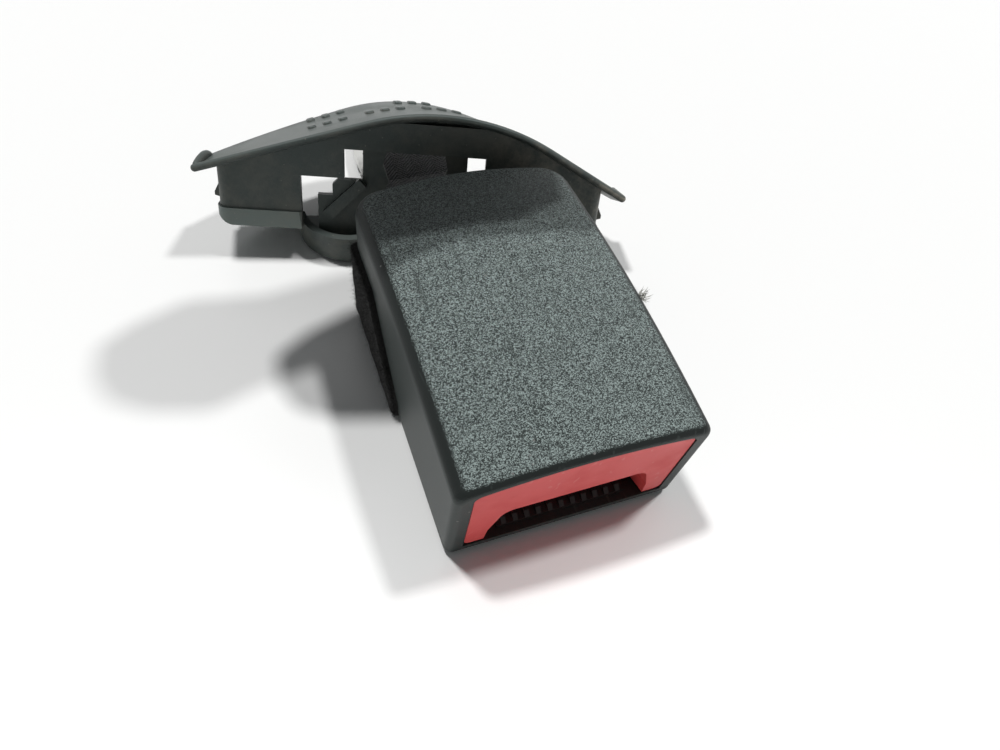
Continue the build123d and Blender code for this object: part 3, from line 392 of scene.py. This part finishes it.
painted_glint = math(shell_tree, "MULTIPLY", coarse.outputs["Glint"], grained)
# the rounds are painted darker than the walls: painted shade
round_shade_mask = ramp(shell_tree, math(shell_tree, "ABSOLUTE", shell_up), 0.2, 0.45)
shell_plain = tint(shell_tree, round_shade_mask, shell_black, shell_round_shade)
shell_base = tint(shell_tree, painted_glint, shell_plain, shell_glint_paint)
shell_scuff = math(shell_tree, "MULTIPLY", shell_use.outputs["Scratch"], 0.5)
shell_worn = tint(shell_tree, shell_scuff, shell_base, satin_pale)
shell_colour = tint(shell_tree, shell_dust.outputs["Specks"], shell_worn, shell_dusty)
shell_rough = ramp(shell_tree, painted_glint, 0.0, 1.0, 0.46, 0.34)
paint(shell_tree, shell_shader, shell_colour, shell_rough)
coarse_height = math(shell_tree, "MULTIPLY", coarse.outputs["Height"], grained)
fine_height = math(shell_tree, "MULTIPLY", smooth.outputs["Height"], 0.18)
relief(shell_tree, shell_shader, math(shell_tree, "ADD", coarse_height, fine_height), 0.00012)
dress(shell, "upper_cover")

# ---- webbing strap ----
# One length of herringbone webbing, folded round the strap bar and the anchor's bar. Its two
# layers lie flat on each other between the folds.
ply = 0.0012  # thickness of one layer
ply_half = 0.46 * ply  # a little under half of it, so the layers don't cut into each other
head_loop = 0.00265  # inside radii of the two folds
anchor_loop = 0.0030
fold_reach = 3.2  # a fold closes this many loop radii from its bar
fold_steps = 24
strap_step = 0.0003  # spacing of the points along the strap
strap_columns = 72  # points across each face
chevron = 0.0024  # width of one column of the weave
chevron_crown = 0.00005
rib_pitch = 0.0009
float_pitch = 0.0011
float_height = 0.00002
strap_low, strap_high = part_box("webbing_strap")
strap_width = strap_high[0] - strap_low[0]
bar_low, bar_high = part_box("strap_bar")
head_bar = np.array([(bar_low[1] + bar_high[1]) / 2, (bar_low[2] + bar_high[2]) / 2])
anchor_bar = np.array([strap_high[1] - anchor_loop - ply, strap_low[2] + anchor_loop + ply])
strap_run = float(np.linalg.norm(anchor_bar - head_bar))
strap_way = (anchor_bar - head_bar) / strap_run
strap_normal = np.array([-strap_way[1], strap_way[0]])


def fold(radius):
    """Middle of the strap round one bar, from its far side (-r, 0) to where the two layers meet.

    An arc of radius r = radius + ply / 2 about the bar, as far as the angle 90 - b with
    sin b = 1 / fold_reach, then a straight line and a small arc of radius ply / 2.
    """
    shut = np.arcsin(1 / fold_reach)
    round_bar = np.linspace(np.pi, np.pi / 2 - shut, fold_steps)
    closing = np.linspace(np.pi / 2 - shut, np.pi / 2, 5)
    wide, small = radius + ply / 2, ply / 2
    arc = np.column_stack([wide * np.cos(round_bar), wide * np.sin(round_bar)])
    end = np.column_stack([fold_reach * radius + small * np.cos(closing), small * np.sin(closing)])
    return np.vstack([arc, end])


def strap_loop():
    """Points strap_step apart on the middle of the strap, which is one closed loop.

    The upper layer is the two folds and the straight between them, and the lower layer is its
    mirror image. Gives the distances along the loop, the points, and the way out at each.
    """
    upper = np.vstack([fold(head_loop), (fold(anchor_loop) * (-1, 1) + (strap_run, 0))[::-1]])
    corners = np.vstack([upper, (upper * (1, -1))[::-1][1:-1]])
    closed = np.vstack([corners, corners[:1]])
    travelled = np.concatenate([[0], np.cumsum(np.linalg.norm(np.diff(closed, axis=0), axis=1))])
    along = np.arange(0, travelled[-1], strap_step)
    middle = np.column_stack([np.interp(along, travelled, closed[:, k]) for k in (0, 1)])
    heading = np.roll(middle, -1, axis=0) - np.roll(middle, 1, axis=0)
    heading /= np.linalg.norm(heading, axis=1)[:, None]
    return along, middle, np.column_stack([-heading[:, 1], heading[:, 0]])


def strap_surface():
    """The strap's skin, round its section: the half thickness is h (1 - |a|^22)^0.5 at a across it.

    h is ply_half, with a crown on each column of the weave and a wave of floats along the strap.
    """
    along, middle, outward = strap_loop()
    half = np.linspace(-1, 1, strap_columns)
    across = np.concatenate([half, half[::-1]])
    face = np.concatenate([np.ones(strap_columns), -np.ones(strap_columns)])
    edge = (1 - np.abs(across) ** 22) ** 0.5
    column = np.abs(np.sin(np.pi * across * strap_width / 2 / chevron))
    floats = np.cos(2 * np.pi * along / float_pitch)[:, None] * float_height
    thick = face * edge * (ply_half + chevron_crown * column**0.5 + floats * edge)
    flat = middle[:, None, :] + outward[:, None, :] * thick[..., None]
    in_plane = head_bar + flat[..., :1] * strap_way + flat[..., 1:] * strap_normal
    sideways = np.broadcast_to(across * strap_width / 2, thick.shape)
    points = np.concatenate([sideways[..., None], in_plane], axis=-1)
    return points, np.broadcast_to(along[:, None], thick.shape), sideways


# herringbone: ribs slanted across each column of the weave, turning back at its edges
weave_inputs = [("Pitch", 0.0009), ("Column", 0.0024)]
weave, weave_in, weave_out = effect("herringbone", weave_inputs, ["Height", "Shade"])
weave_along = node(weave, "ShaderNodeAttribute", attribute_name="along").outputs["Fac"]
weave_across = node(weave, "ShaderNodeAttribute", attribute_name="across").outputs["Fac"]
zigzag = math(weave, "PINGPONG", weave_across, weave_in.outputs["Column"])
rib_count = math(weave, "DIVIDE", math(weave, "ADD", weave_along, zigzag), weave_in.outputs["Pitch"])
rib = math(weave, "ABSOLUTE", math(weave, "SINE", math(weave, "MULTIPLY", rib_count, np.pi)))
column_count = math(weave, "DIVIDE", weave_across, weave_in.outputs["Column"])
seam = math(weave, "ABSOLUTE", math(weave, "SINE", math(weave, "MULTIPLY", column_count, np.pi)))
weave_height = math(weave, "MULTIPLY", math(weave, "POWER", rib, 0.6), math(weave, "POWER", seam, 0.25))
weave.links.new(weave_height, weave_out.inputs["Height"])
weave.links.new(ramp(weave, weave_height, 0.15, 0.8), weave_out.inputs["Shade"])

# the weave's valleys are painted darker than its ribs: painted shade in its hollows
webbing_valley_shade = rgb(0.006, 0.006, 0.007)
webbing_black = rgb(0.032, 0.034, 0.036)
webbing, webbing_tree, webbing_shader = finish_of("polyester_webbing", Roughness=0.62, Sheen_Weight=0.35)
webbing_weave = place(webbing_tree, weave, Pitch=rib_pitch, Column=chevron)
webbing_base = tint(webbing_tree, webbing_weave.outputs["Shade"], webbing_valley_shade, webbing_black)
yarn = math(webbing_tree, "MULTIPLY", noise(webbing_tree, spot(webbing_tree), 1500.0, 2.0), 0.3)
paint(webbing_tree, webbing_shader, tint(webbing_tree, yarn, webbing_base, rgb(0.06, 0.06, 0.06)))
relief(webbing_tree, webbing_shader, webbing_weave.outputs["Height"], 0.00018)
strap_points, strap_along, strap_across = strap_surface()
strap_values = {"along": strap_along, "across": strap_across}
strap = grid_object("webbing_strap_woven", strap_points, webbing, True, True, **strap_values)
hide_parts("webbing_strap")
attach(strap, "stalk")

# ---- strap stitching ----
# Four rows of thick bonded thread hold the layers together. Each stitch is a short twisted
# thread that dives into the webbing at both ends.
stitch_rows = 4
stitches_per_row = 8
stitch_length = 0.0018
thread_radius = 0.00022
row_pitch = 0.0024
thread_sides = 10
thread_steps = 15
thread, thread_tree, thread_shader = finish_of("bonded_thread", Roughness=0.5, Sheen_Weight=0.3)
fluff = noise(thread_tree, spot(thread_tree), 4000.0, 2.0)
thread_colour = tint(thread_tree, fluff, rgb(0.010, 0.010, 0.011), rgb(0.07, 0.07, 0.07))
paint(thread_tree, thread_shader, thread_colour)
relief(thread_tree, thread_shader, fluff, 0.00004)


def stitch(x, distance, side):
    """One stitch across the strap: radius r (1 + 0.12 cos(2a - 9t)) about an arched middle line."""
    t = np.linspace(-1, 1, thread_steps)[:, None]
    angle = np.linspace(0, 2 * np.pi, thread_sides, endpoint=False)[None, :]
    radius = thread_radius * (1 + 0.12 * np.cos(2 * angle - 9 * t))
    lift = side * (ply * 0.98 + thread_radius * (np.cos(np.pi * t / 2) - 1))
    u = distance + radius * np.cos(angle)
    v = lift + side * radius * np.sin(angle)
    sideways = np.broadcast_to(x + side * t * stitch_length / 2, u.shape)
    in_plane = head_bar + u[..., None] * strap_way + v[..., None] * strap_normal
    return np.concatenate([sideways[..., None], in_plane], axis=-1)


def joined(name, parts):
    """Several objects made one, under this name."""
    with bpy.context.temp_override(active_object=parts[0], selected_editable_objects=parts):
        bpy.ops.object.join()
    parts[0].name = name
    return parts[0]


stitch_pitch = strap_width / (stitches_per_row + 1)
row_starts = (np.arange(stitch_rows) - (stitch_rows - 1) / 2) * row_pitch + strap_run / 2
stitch_places = (np.arange(stitches_per_row) - (stitches_per_row - 1) / 2) * stitch_pitch
stitches = [
    grid_object("stitch", stitch(x, distance, side), thread, wrap_columns=True)
    for distance in row_starts
    for x in stitch_places
    for side in (1, -1)
]
stitching = joined("stitching_thread", stitches)
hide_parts("strap_stitching")
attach(stitching, "stalk")

# ---- felt strips ----
# Needled felt, glued into a shallow recess on each side of the head, cut on the slant in front.
# Its face is lumpy, and loose fibres stand off it and off its cut edges.
felt_front_height = 0.0046  # the front end is square up to this height
felt_slant = 0.0170  # length of the slanted part
felt_grid = (120, 80)  # points along the strip and up it
round_along = 18  # the felt's edge is rounded over one part in this of its length,
round_up = 16  # and over one part in this of its height
fibre_count = 3600
fibre_reach = (0.0004, 0.0011)  # shortest and longest
fibre_thickness = 0.000028  # radius at the root
fibre_taper = 0.8  # share of the radius that is gone at the tip
fibre_steps = 4
fibre_sides = 3
edge_share = 0.4  # share of the fibres that stand off the cut edges
floor_gap = 0.0001  # fibres bend up from the table by this much
felt_finish = {"Roughness": 0.9, "Specular_IOR_Level": 0.15, "Sheen_Weight": 0.06}
felt, felt_tree, felt_shader = finish_of("needled_felt", **felt_finish)
matted = noise(felt_tree, spot(felt_tree), 1600.0, 4.0, Distortion=1.5)
felt_colour = tint(felt_tree, matted, rgb(0.004, 0.004, 0.004), rgb(0.024, 0.024, 0.023))
paint(felt_tree, felt_shader, felt_colour)
relief(felt_tree, felt_shader, matted, 0.0003)


def felt_face(low, high, a, b):
    """The strip's face at a along it and b up it: (y, z), between its slanted front and its rear."""
    z = low[2] + b * (high[2] - low[2])
    rise = np.clip((z - felt_front_height) / (high[2] - felt_front_height), 0, 1)
    front = low[1] + felt_slant * rise
    return front + a * (high[1] - front), z


def felt_swell(a, b):
    """How far the felt stands out at (a, b): 0 at its edges, a quarter round, then 1."""
    brink = np.minimum(np.minimum(a, 1 - a) * round_along, np.minimum(b, 1 - b) * round_up)
    return np.clip(1 - (1 - np.clip(brink, 0, 1)) ** 2, 0, 1) ** 0.5


def lumps(y, z):
    """Uneven thickness of the felt: a sum of sines that never line up."""
    fine_lumps = np.sin(2900 * y + 3 * np.sin(1700 * z)) * np.sin(3100 * z + 2 * np.sin(1300 * y))
    return 0.00008 * fine_lumps + 0.00005 * np.sin(900 * y + 700 * z)


def felt_mat(name, side, low, high):
    """The strip's face: x = root + side (0.97 depth + lumps) swell, over a grid of its outline."""
    root = low[0] if side > 0 else high[0]
    a, b = np.meshgrid(*[np.linspace(0, 1, count) for count in felt_grid], indexing="ij")
    y, z = felt_face(low, high, a, b)
    swell = felt_swell(a, b)
    x = root + side * ((high[0] - low[0]) * swell * 0.97 + lumps(y, z) * swell)
    points = np.stack([x, y, z], axis=-1)
    return grid_object(name + "_mat", points if side > 0 else points[::-1], felt)


def felt_fibres(name, side, low, high, seed):
    """Loose fibres: thin cones about start + reach (way t + bend t^2), kept off the table."""
    root = low[0] if side > 0 else high[0]
    rng = np.random.default_rng(seed)
    a, b = rng.random(fibre_count), rng.random(fibre_count)
    on_edge = rng.random(fibre_count) < edge_share
    a = np.where(on_edge & (b < 0.5), np.round(a) * 0.97 + 0.015, a)
    b = np.where(on_edge & (b >= 0.5), 0.97, b)
    y, z = felt_face(low, high, a, b)
    start = np.stack([root + side * (high[0] - low[0]) * felt_swell(a, b) * 0.9, y, z], axis=-1)
    way = rng.normal(0, 1, (fibre_count, 3)) * (0.35, 1, 1) + (side * 0.55, 0, 0)
    way /= np.linalg.norm(way, axis=1)[:, None]
    bend = rng.normal(0, 1, (fibre_count, 3)) * 0.5
    reach = rng.uniform(*fibre_reach, fibre_count)[:, None]
    t = np.linspace(0, 1, fibre_steps)[:, None, None]
    line = start + way * reach * t + bend * reach * t**2
    line[..., 2] = np.maximum(line[..., 2], floor_gap)
    turn = np.linspace(0, 2 * np.pi, fibre_sides, endpoint=False)
    aside = np.cross(way, (0.3, 0.5, 0.8))
    aside /= np.linalg.norm(aside, axis=1)[:, None]
    other = np.cross(way, aside)
    ring = aside[:, None, :] * np.cos(turn)[:, None] + other[:, None, :] * np.sin(turn)[:, None]
    thin = fibre_thickness * (1 - fibre_taper * t[..., None])
    tubes = line[:, :, None, :] + ring[None] * thin
    tubes = tubes.transpose(1, 0, 2, 3).reshape(-1, 3)
    first = np.arange(fibre_count)[:, None, None] * fibre_steps * fibre_sides
    step = np.arange(fibre_steps - 1)[None, :, None] * fibre_sides
    one = first + step + np.arange(fibre_sides)
    two = first + step + (np.arange(fibre_sides) + 1) % fibre_sides
    quads = np.stack([one, two, two + fibre_sides, one + fibre_sides], axis=-1).reshape(-1, 4)
    mesh = bpy.data.meshes.new(name + "_fibres")
    mesh.from_pydata(tubes.tolist(), [], quads.tolist())
    mesh.materials.append(felt)
    made = bpy.data.objects.new(name + "_fibres", mesh)
    bpy.context.scene.collection.objects.link(made)
    return made


for name, side, seed in (("felt_strip_left", -1, 11), ("felt_strip_right", 1, 12)):
    low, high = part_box(name)
    mat = felt_mat(name, side, low, high)
    strip = joined(name + "_needled", [mat, felt_fibres(name, side, low, high, seed)])
    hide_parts(name)
    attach(strip, "head")

# ---- lint ----
# A pale tuft of textile fibres that has caught on the right shoulder of the upper cover. It is
# held by nothing but the fuzz of its own fibres.
lint_count = 60
lint_thickness = 0.00009
lint_reach = (0.0004, 0.0010)
lint_steps = 9
lint_sides = 4
lint, lint_tree, lint_shader = finish_of("pale_lint", Roughness=0.8)
lint_noise = noise(lint_tree, spot(lint_tree), 2500.0, 2.0)
paint(lint_tree, lint_shader, tint(lint_tree, lint_noise, rgb(0.42, 0.42, 0.38), rgb(0.75, 0.75, 0.70)))
relief(lint_tree, lint_shader, lint_noise, 0.00003)


def lint_fibre(rng, root):
    """One thin curling fibre: a circle about root + way t + bend t^2, tapering to nothing."""
    way = rng.normal(0, 0.6, 3) + (0.8, 0.1, 0.3)
    bend = rng.normal(0, 0.0006, 3)
    t = np.linspace(0, 1, lint_steps)
    middle = root + rng.normal(0, 0.0004, 3) + np.outer(t, way) * rng.uniform(*lint_reach)
    middle += np.outer(t**2, bend)
    turn = np.linspace(0, 2 * np.pi, lint_sides, endpoint=False)
    thin = lint_thickness * (1 - t**4)[:, None]
    y = middle[:, 1, None] + thin * np.cos(turn)
    z = middle[:, 2, None] + thin * np.sin(turn)
    return np.stack([np.broadcast_to(middle[:, 0, None], y.shape), y, z], axis=-1)


cover_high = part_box("upper_cover")[1]
lint_root = np.array([cover_high[0] + 0.0002, -0.0050, cover_high[2] - 0.0042])
lint_rng = np.random.default_rng(5)
lint_shapes = [lint_fibre(lint_rng, lint_root) for _ in range(lint_count)]
tuft = joined("caught_lint", [grid_object("fibre", shape, lint, wrap_columns=True) for shape in lint_shapes])
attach(tuft, "head")

# ---- trim bezel and strap guide ----
# Two thin black mouldings: a dished flange with a raised bead round its edge and a skirt with a
# stepped opening, and the throat that leads the strap through it. They gather dust. The right of the
# skirt gets a thicker film, partly dust and partly painted light, and the band at its foot is painted
# paler as painted light.
skirt_up = (0.13, 0.32, 0.94)  # the way up the slanted skirt
band_top = 0.0227  # top of the band that stands proud at the skirt's foot, measured along skirt_up
guide_middle = -0.0064  # the strap guide is left out of the band: its middle and half width in x
guide_half = 0.0238
dust_light_from = 0.008  # the dust film is thicker to the right, partly painted light: it grows from this x to the next,
dust_light_full = 0.024
dust_light_low = 0.8  # and from this share of its amount to the next one
dust_light_high = 3.6
# the band at the skirt's foot is painted paler than the wall: painted light, for the light its outward tilt
# catches
trim_band_painted_light = rgb(0.165, 0.20, 0.188)
trim_deep = rgb(0.036, 0.046, 0.043)
trim_smeared = rgb(0.050, 0.060, 0.056)
trim_black, trim_tree, trim_shader = finish_of("trim_satin", Specular_IOR_Level=0.38, Specular_Tint=cool)
trim_use = place(trim_tree, handling, Smear=0.014)
trim_grain = place(trim_tree, grain, Grain=0.0003, Coarse=0.4)
trim_dust = place(trim_tree, dust, Amount=0.35, Speck=0.0012)
trim_spot = spot(trim_tree)
trim_x = node(trim_tree, "ShaderNodeSeparateXYZ", {0: trim_spot}).outputs["X"]
trim_facing = node(trim_tree, "ShaderNodeNewGeometry").outputs["True Normal"]


def up_the_skirt(vector):
    """How far a vector goes the way up the skirt: their dot product."""
    product = node(trim_tree, "ShaderNodeVectorMath", {0: vector, 1: skirt_up}, operation="DOT_PRODUCT")
    return product.outputs["Value"]


on_wall = ramp(trim_tree, math(trim_tree, "ABSOLUTE", up_the_skirt(trim_facing)), 0.3, 0.6, 1.0, 0.2)
from_guide = math(trim_tree, "ABSOLUTE", math(trim_tree, "ADD", trim_x, -guide_middle))
off_guide = math(trim_tree, "GREATER_THAN", from_guide, guide_half)
below_top = ramp(trim_tree, up_the_skirt(trim_spot), band_top - 0.0002, band_top, 1.0, 0.0)
lit_band_mask = math(trim_tree, "MULTIPLY", below_top, off_guide)
trim_base = tint(trim_tree, trim_use.outputs["Smear"], trim_deep, trim_smeared)
trim_base = tint(trim_tree, lit_band_mask, trim_base, trim_band_painted_light)
# the right of the skirt lies in shade: the thicker film there is partly dust and partly painted light
dust_and_light = ramp(trim_tree, trim_x, dust_light_from, dust_light_full, dust_light_low, dust_light_high)
dust_and_light = math(trim_tree, "MULTIPLY", dust_and_light, on_wall)
dust_and_light_cover = math(trim_tree, "MINIMUM", math(trim_tree, "MULTIPLY", trim_dust.outputs["Film"], dust_and_light), 1.0)
trim_dust_and_light = tint(trim_tree, dust_and_light_cover, trim_base, rgb(0.26, 0.24, 0.20))
trim_colour = tint(trim_tree, trim_dust.outputs["Specks"], trim_dust_and_light, rgb(0.3, 0.28, 0.25))
trim_rough = ramp(trim_tree, trim_use.outputs["Smear"], 0.0, 1.0, 0.4, 0.52)
paint(trim_tree, trim_shader, trim_colour, trim_rough)
relief(trim_tree, trim_shader, trim_grain.outputs["Height"], 0.00002)
dress(trim_black, "trim_bezel", "strap_guide")

# ---- raised marks on the flange ----
# Two rows of short plain bars stand up from the flange's top, in groups of three. They are cut
# into the mould, so their edges are soft.
bar_half = np.array([0.0009, 0.0015])  # half sizes across and along the slope
bar_rise = 0.00045
bar_pitch = 0.0034
bars_per_group = 3
bar_sides = 28
bar_rows = [((-0.0235, 0.0640), (0.0085, 0.0604), 3), ((-0.0225, 0.0722), (0.0045, 0.0710), 2)]
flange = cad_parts["trim_bezel"].data
flange_tree = BVHTree.FromPolygons([v.co for v in flange.vertices], [p.vertices for p in flange.polygons])


def on_flange(x, y):
    """The point of the flange's top over (x, y), and the way out of it there."""
    hit, normal, _, _ = flange_tree.ray_cast(Vector((x, y, 0.1)), Vector((0, 0, -1)))
    return np.array(hit), np.array(normal)


def raised_bar(x, y):
    """A soft-edged bar: rings |a|^4 + |b|^4 = 1 that shrink as they rise, and close on top."""
    centre, out = on_flange(x, y)
    slope = np.cross(out, (1.0, 0.0, 0.0))
    slope /= np.linalg.norm(slope)
    aside = np.cross(slope, out)
    turn = np.linspace(0, 2 * np.pi, bar_sides, endpoint=False)
    ring = np.stack([np.cos(turn), np.sin(turn)])
    ring = np.sign(ring) * np.abs(ring) ** 0.5
    size = np.array([1.1, 1.05, 0.94, 0.84, 0.6, 0.0])
    height = np.array([-0.4, 0.5, 0.88, 1.0, 1.0, 1.0]) * bar_rise
    flat = (ring * bar_half[:, None])[None] * size[:, None, None]
    return centre + flat[:, 0, :, None] * aside + flat[:, 1, :, None] * slope + height[:, None, None] * out


bars = []
for start, end, groups in bar_rows:
    group_pitch = (end[0] - start[0] - (bars_per_group - 1) * bar_pitch) / (groups - 1)
    for number in range(groups * bars_per_group):
        x = start[0] + number // bars_per_group * group_pitch + number % bars_per_group * bar_pitch
        y = np.interp(x, (start[0], end[0]), (start[1], end[1]))
        bars.append(grid_object("bar", raised_bar(x, y), trim_black, wrap_columns=True))
marks = joined("flange_marks", bars)
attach(marks, "trim")

# ---- turned-up end of the flange ----
# The bead goes on round the flange's left end and turns up there into a short lip, which keeps
# the cover of the seat from riding over it.

# the middle of the lip's foot in x and y, from the front to the rear, and how far it rises there
lip_way = np.array([(-0.0488, 0.0574), (-0.0478, 0.0600), (-0.0466, 0.0630), (-0.0454, 0.0658)])
lip_rise = np.array([0.0002, 0.0014, 0.0018, 0.0010])
lip_root = 0.0009  # depth of the lip's foot in the flange
lip_half_width = 0.00075
lip_steps = 40
lip_sides = 16


def turned_lip():
    """An ellipse carried along the end, standing on the flange; it shuts at both ends."""
    t = np.linspace(0, 1, lip_steps)
    knots = np.linspace(0, 1, len(lip_way))
    x, y = np.interp(t, knots, lip_way[:, 0]), np.interp(t, knots, lip_way[:, 1])
    rise = np.polyval(np.polyfit(knots, lip_rise, 3), t)
    foot = np.array([on_flange(px, py)[0][2] for px, py in zip(x, y)])
    foot = np.polyval(np.polyfit(t, foot, 1), t)
    shut = (1 - np.abs(2 * t - 1) ** 12) ** 0.5
    turn = np.linspace(0, 2 * np.pi, lip_sides, endpoint=False)
    along_lip = lip_way[-1] - lip_way[0]
    aside = np.array([along_lip[1], -along_lip[0]]) / np.linalg.norm(along_lip)
    tall = (rise + lip_root) / 2
    wide = np.outer(shut * lip_half_width, np.cos(turn))
    up = np.outer(shut * tall, np.sin(turn)) + (foot + rise - tall)[:, None]
    return np.stack([x[:, None] + wide * aside[0], y[:, None] + wide * aside[1], up], axis=-1)


lip = grid_object("flange_end_lip", turned_lip(), trim_black, wrap_columns=True)
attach(lip, "trim")

# ---- anchor plate ----
# Blanked from thick strip and bright zinc plated, dulled in patches, with a scuffed eye. The
# webbing is folded round the bar at its near end.
anchor, anchor_tree, anchor_shader = finish_of("anchor_zinc", Metallic=1.0)
anchor_use = place(anchor_tree, handling, Smear=0.007)
anchor_base = tint(anchor_tree, anchor_use.outputs["Smear"], rgb(0.58, 0.58, 0.56), rgb(0.40, 0.40, 0.39))
anchor_colour = tint(anchor_tree, anchor_use.outputs["Scratch"], anchor_base, rgb(0.78, 0.78, 0.76))
anchor_rough = ramp(anchor_tree, anchor_use.outputs["Smear"], 0.0, 1.0, 0.3, 0.44)
paint(anchor_tree, anchor_shader, anchor_colour, anchor_rough)
relief(anchor_tree, anchor_shader, anchor_use.outputs["Scratch"], 0.000012)
dress(anchor, "anchor_plate")

# ---- table, lamps and camera ----
# A broad white table, a lamp nearly overhead and a second one to the right, a small dark card
# that hangs over the head's rear, and a camera that looks down at the head from in front.


def flat_panel(name, outline, height, material):
    """A flat polygon at one height, which isn't part of the object."""
    mesh = bpy.data.meshes.new(name)
    mesh.from_pydata([(x, y, height) for x, y in outline], [], [range(len(outline))])
    mesh.materials.append(material)
    made = bpy.data.objects.new(name, mesh)
    bpy.context.scene.collection.objects.link(made)
    return made


table_half = 4.0
table_outline = [(-table_half, -table_half), (table_half, -table_half)]
table_outline += [(table_half, table_half), (-table_half, table_half)]
table_white = finish_of("table_white", Base_Color=rgb(0.93, 0.93, 0.92), Roughness=0.3)[0]
flat_panel("table", table_outline, 0.0, table_white)


def lamp(name, towards, spread, level):
    """A far round lamp, spread radians wide: level is the brightness of a white surface facing it."""
    light = bpy.data.lights.new(name, "SUN")
    light.angle = spread
    light.energy = level * np.pi
    held = bpy.data.objects.new(name, light)
    held.rotation_euler = Vector(towards).to_track_quat("Z", "Y").to_euler()
    bpy.context.scene.collection.objects.link(held)


lamp("lamp_over", (-0.19, 0.30, 1.0), 0.10, 0.58)
lamp("lamp_side", (0.47, 0.07, 1.0), 0.11, 0.41)

# the card isn't seen by the camera: it hangs where the trim hovers over the head's rear when the
# stalk is held up, and gives the shade that the trim then throws on the cover and the table
card_height = 0.050
card_outline = [
    (-0.051, 0.036), (-0.052, 0.028), (-0.0495, 0.0215), (-0.043, 0.017), (-0.032, 0.014), (-0.022, 0.0172),
    (-0.012, 0.0188), (0.003, 0.0176), (0.016, 0.0170), (0.027, 0.022), (0.030, 0.032), (0.026, 0.042),
    (0.0, 0.0445), (-0.018, 0.042), (-0.033, 0.0445), (-0.044, 0.0405),
]
card_black = finish_of("card_black", Base_Color=rgb(0.01, 0.01, 0.01), Roughness=0.9)[0]
card = flat_panel("shade_card", card_outline, card_height, card_black)
card.visible_camera = False

# a white room to the camera, to gloss and through glass, and a faint cool light to the rest
world = bpy.data.worlds.new("room")
bpy.context.scene.world = world
world.use_nodes = True
room = world.node_tree
room.nodes.clear()
seen = node(room, "ShaderNodeLightPath")
plain = node(room, "ShaderNodeBackground", {"Color": rgb(0.95, 0.98, 1.0), "Strength": 0.14})
bright = node(room, "ShaderNodeBackground", {"Color": rgb(1, 1, 1), "Strength": 1.0})
backdrop = math(room, "MAXIMUM", seen.outputs["Is Camera Ray"], seen.outputs["Is Glossy Ray"])
backdrop = math(room, "MAXIMUM", backdrop, seen.outputs["Is Transmission Ray"])
chosen_sky = node(room, "ShaderNodeMixShader", {0: backdrop, 1: plain.outputs[0], 2: bright.outputs[0]})
node(room, "ShaderNodeOutputWorld", {"Surface": chosen_sky.outputs[0]})

camera_at = Vector((-0.04138, -0.08002, 0.11792))
camera_right = Vector((0.93546, -0.34105, 0.09277))
camera_up = Vector((0.2155, 0.75842, 0.61511))
camera_back = Vector((-0.28014, -0.55542, 0.78296))
camera_turn = Matrix((camera_right, camera_up, camera_back)).transposed()
camera = bpy.data.objects.new("camera", bpy.data.cameras.new("camera"))
camera.data.lens = 26.27
camera.data.sensor_width = 36.0
camera.data.clip_start = 0.005
camera.matrix_world = Matrix.Translation(camera_at) @ camera_turn.to_4x4()
bpy.context.scene.collection.objects.link(camera)
bpy.context.scene.camera = camera

bpy.context.scene.view_settings.view_transform = "Standard"
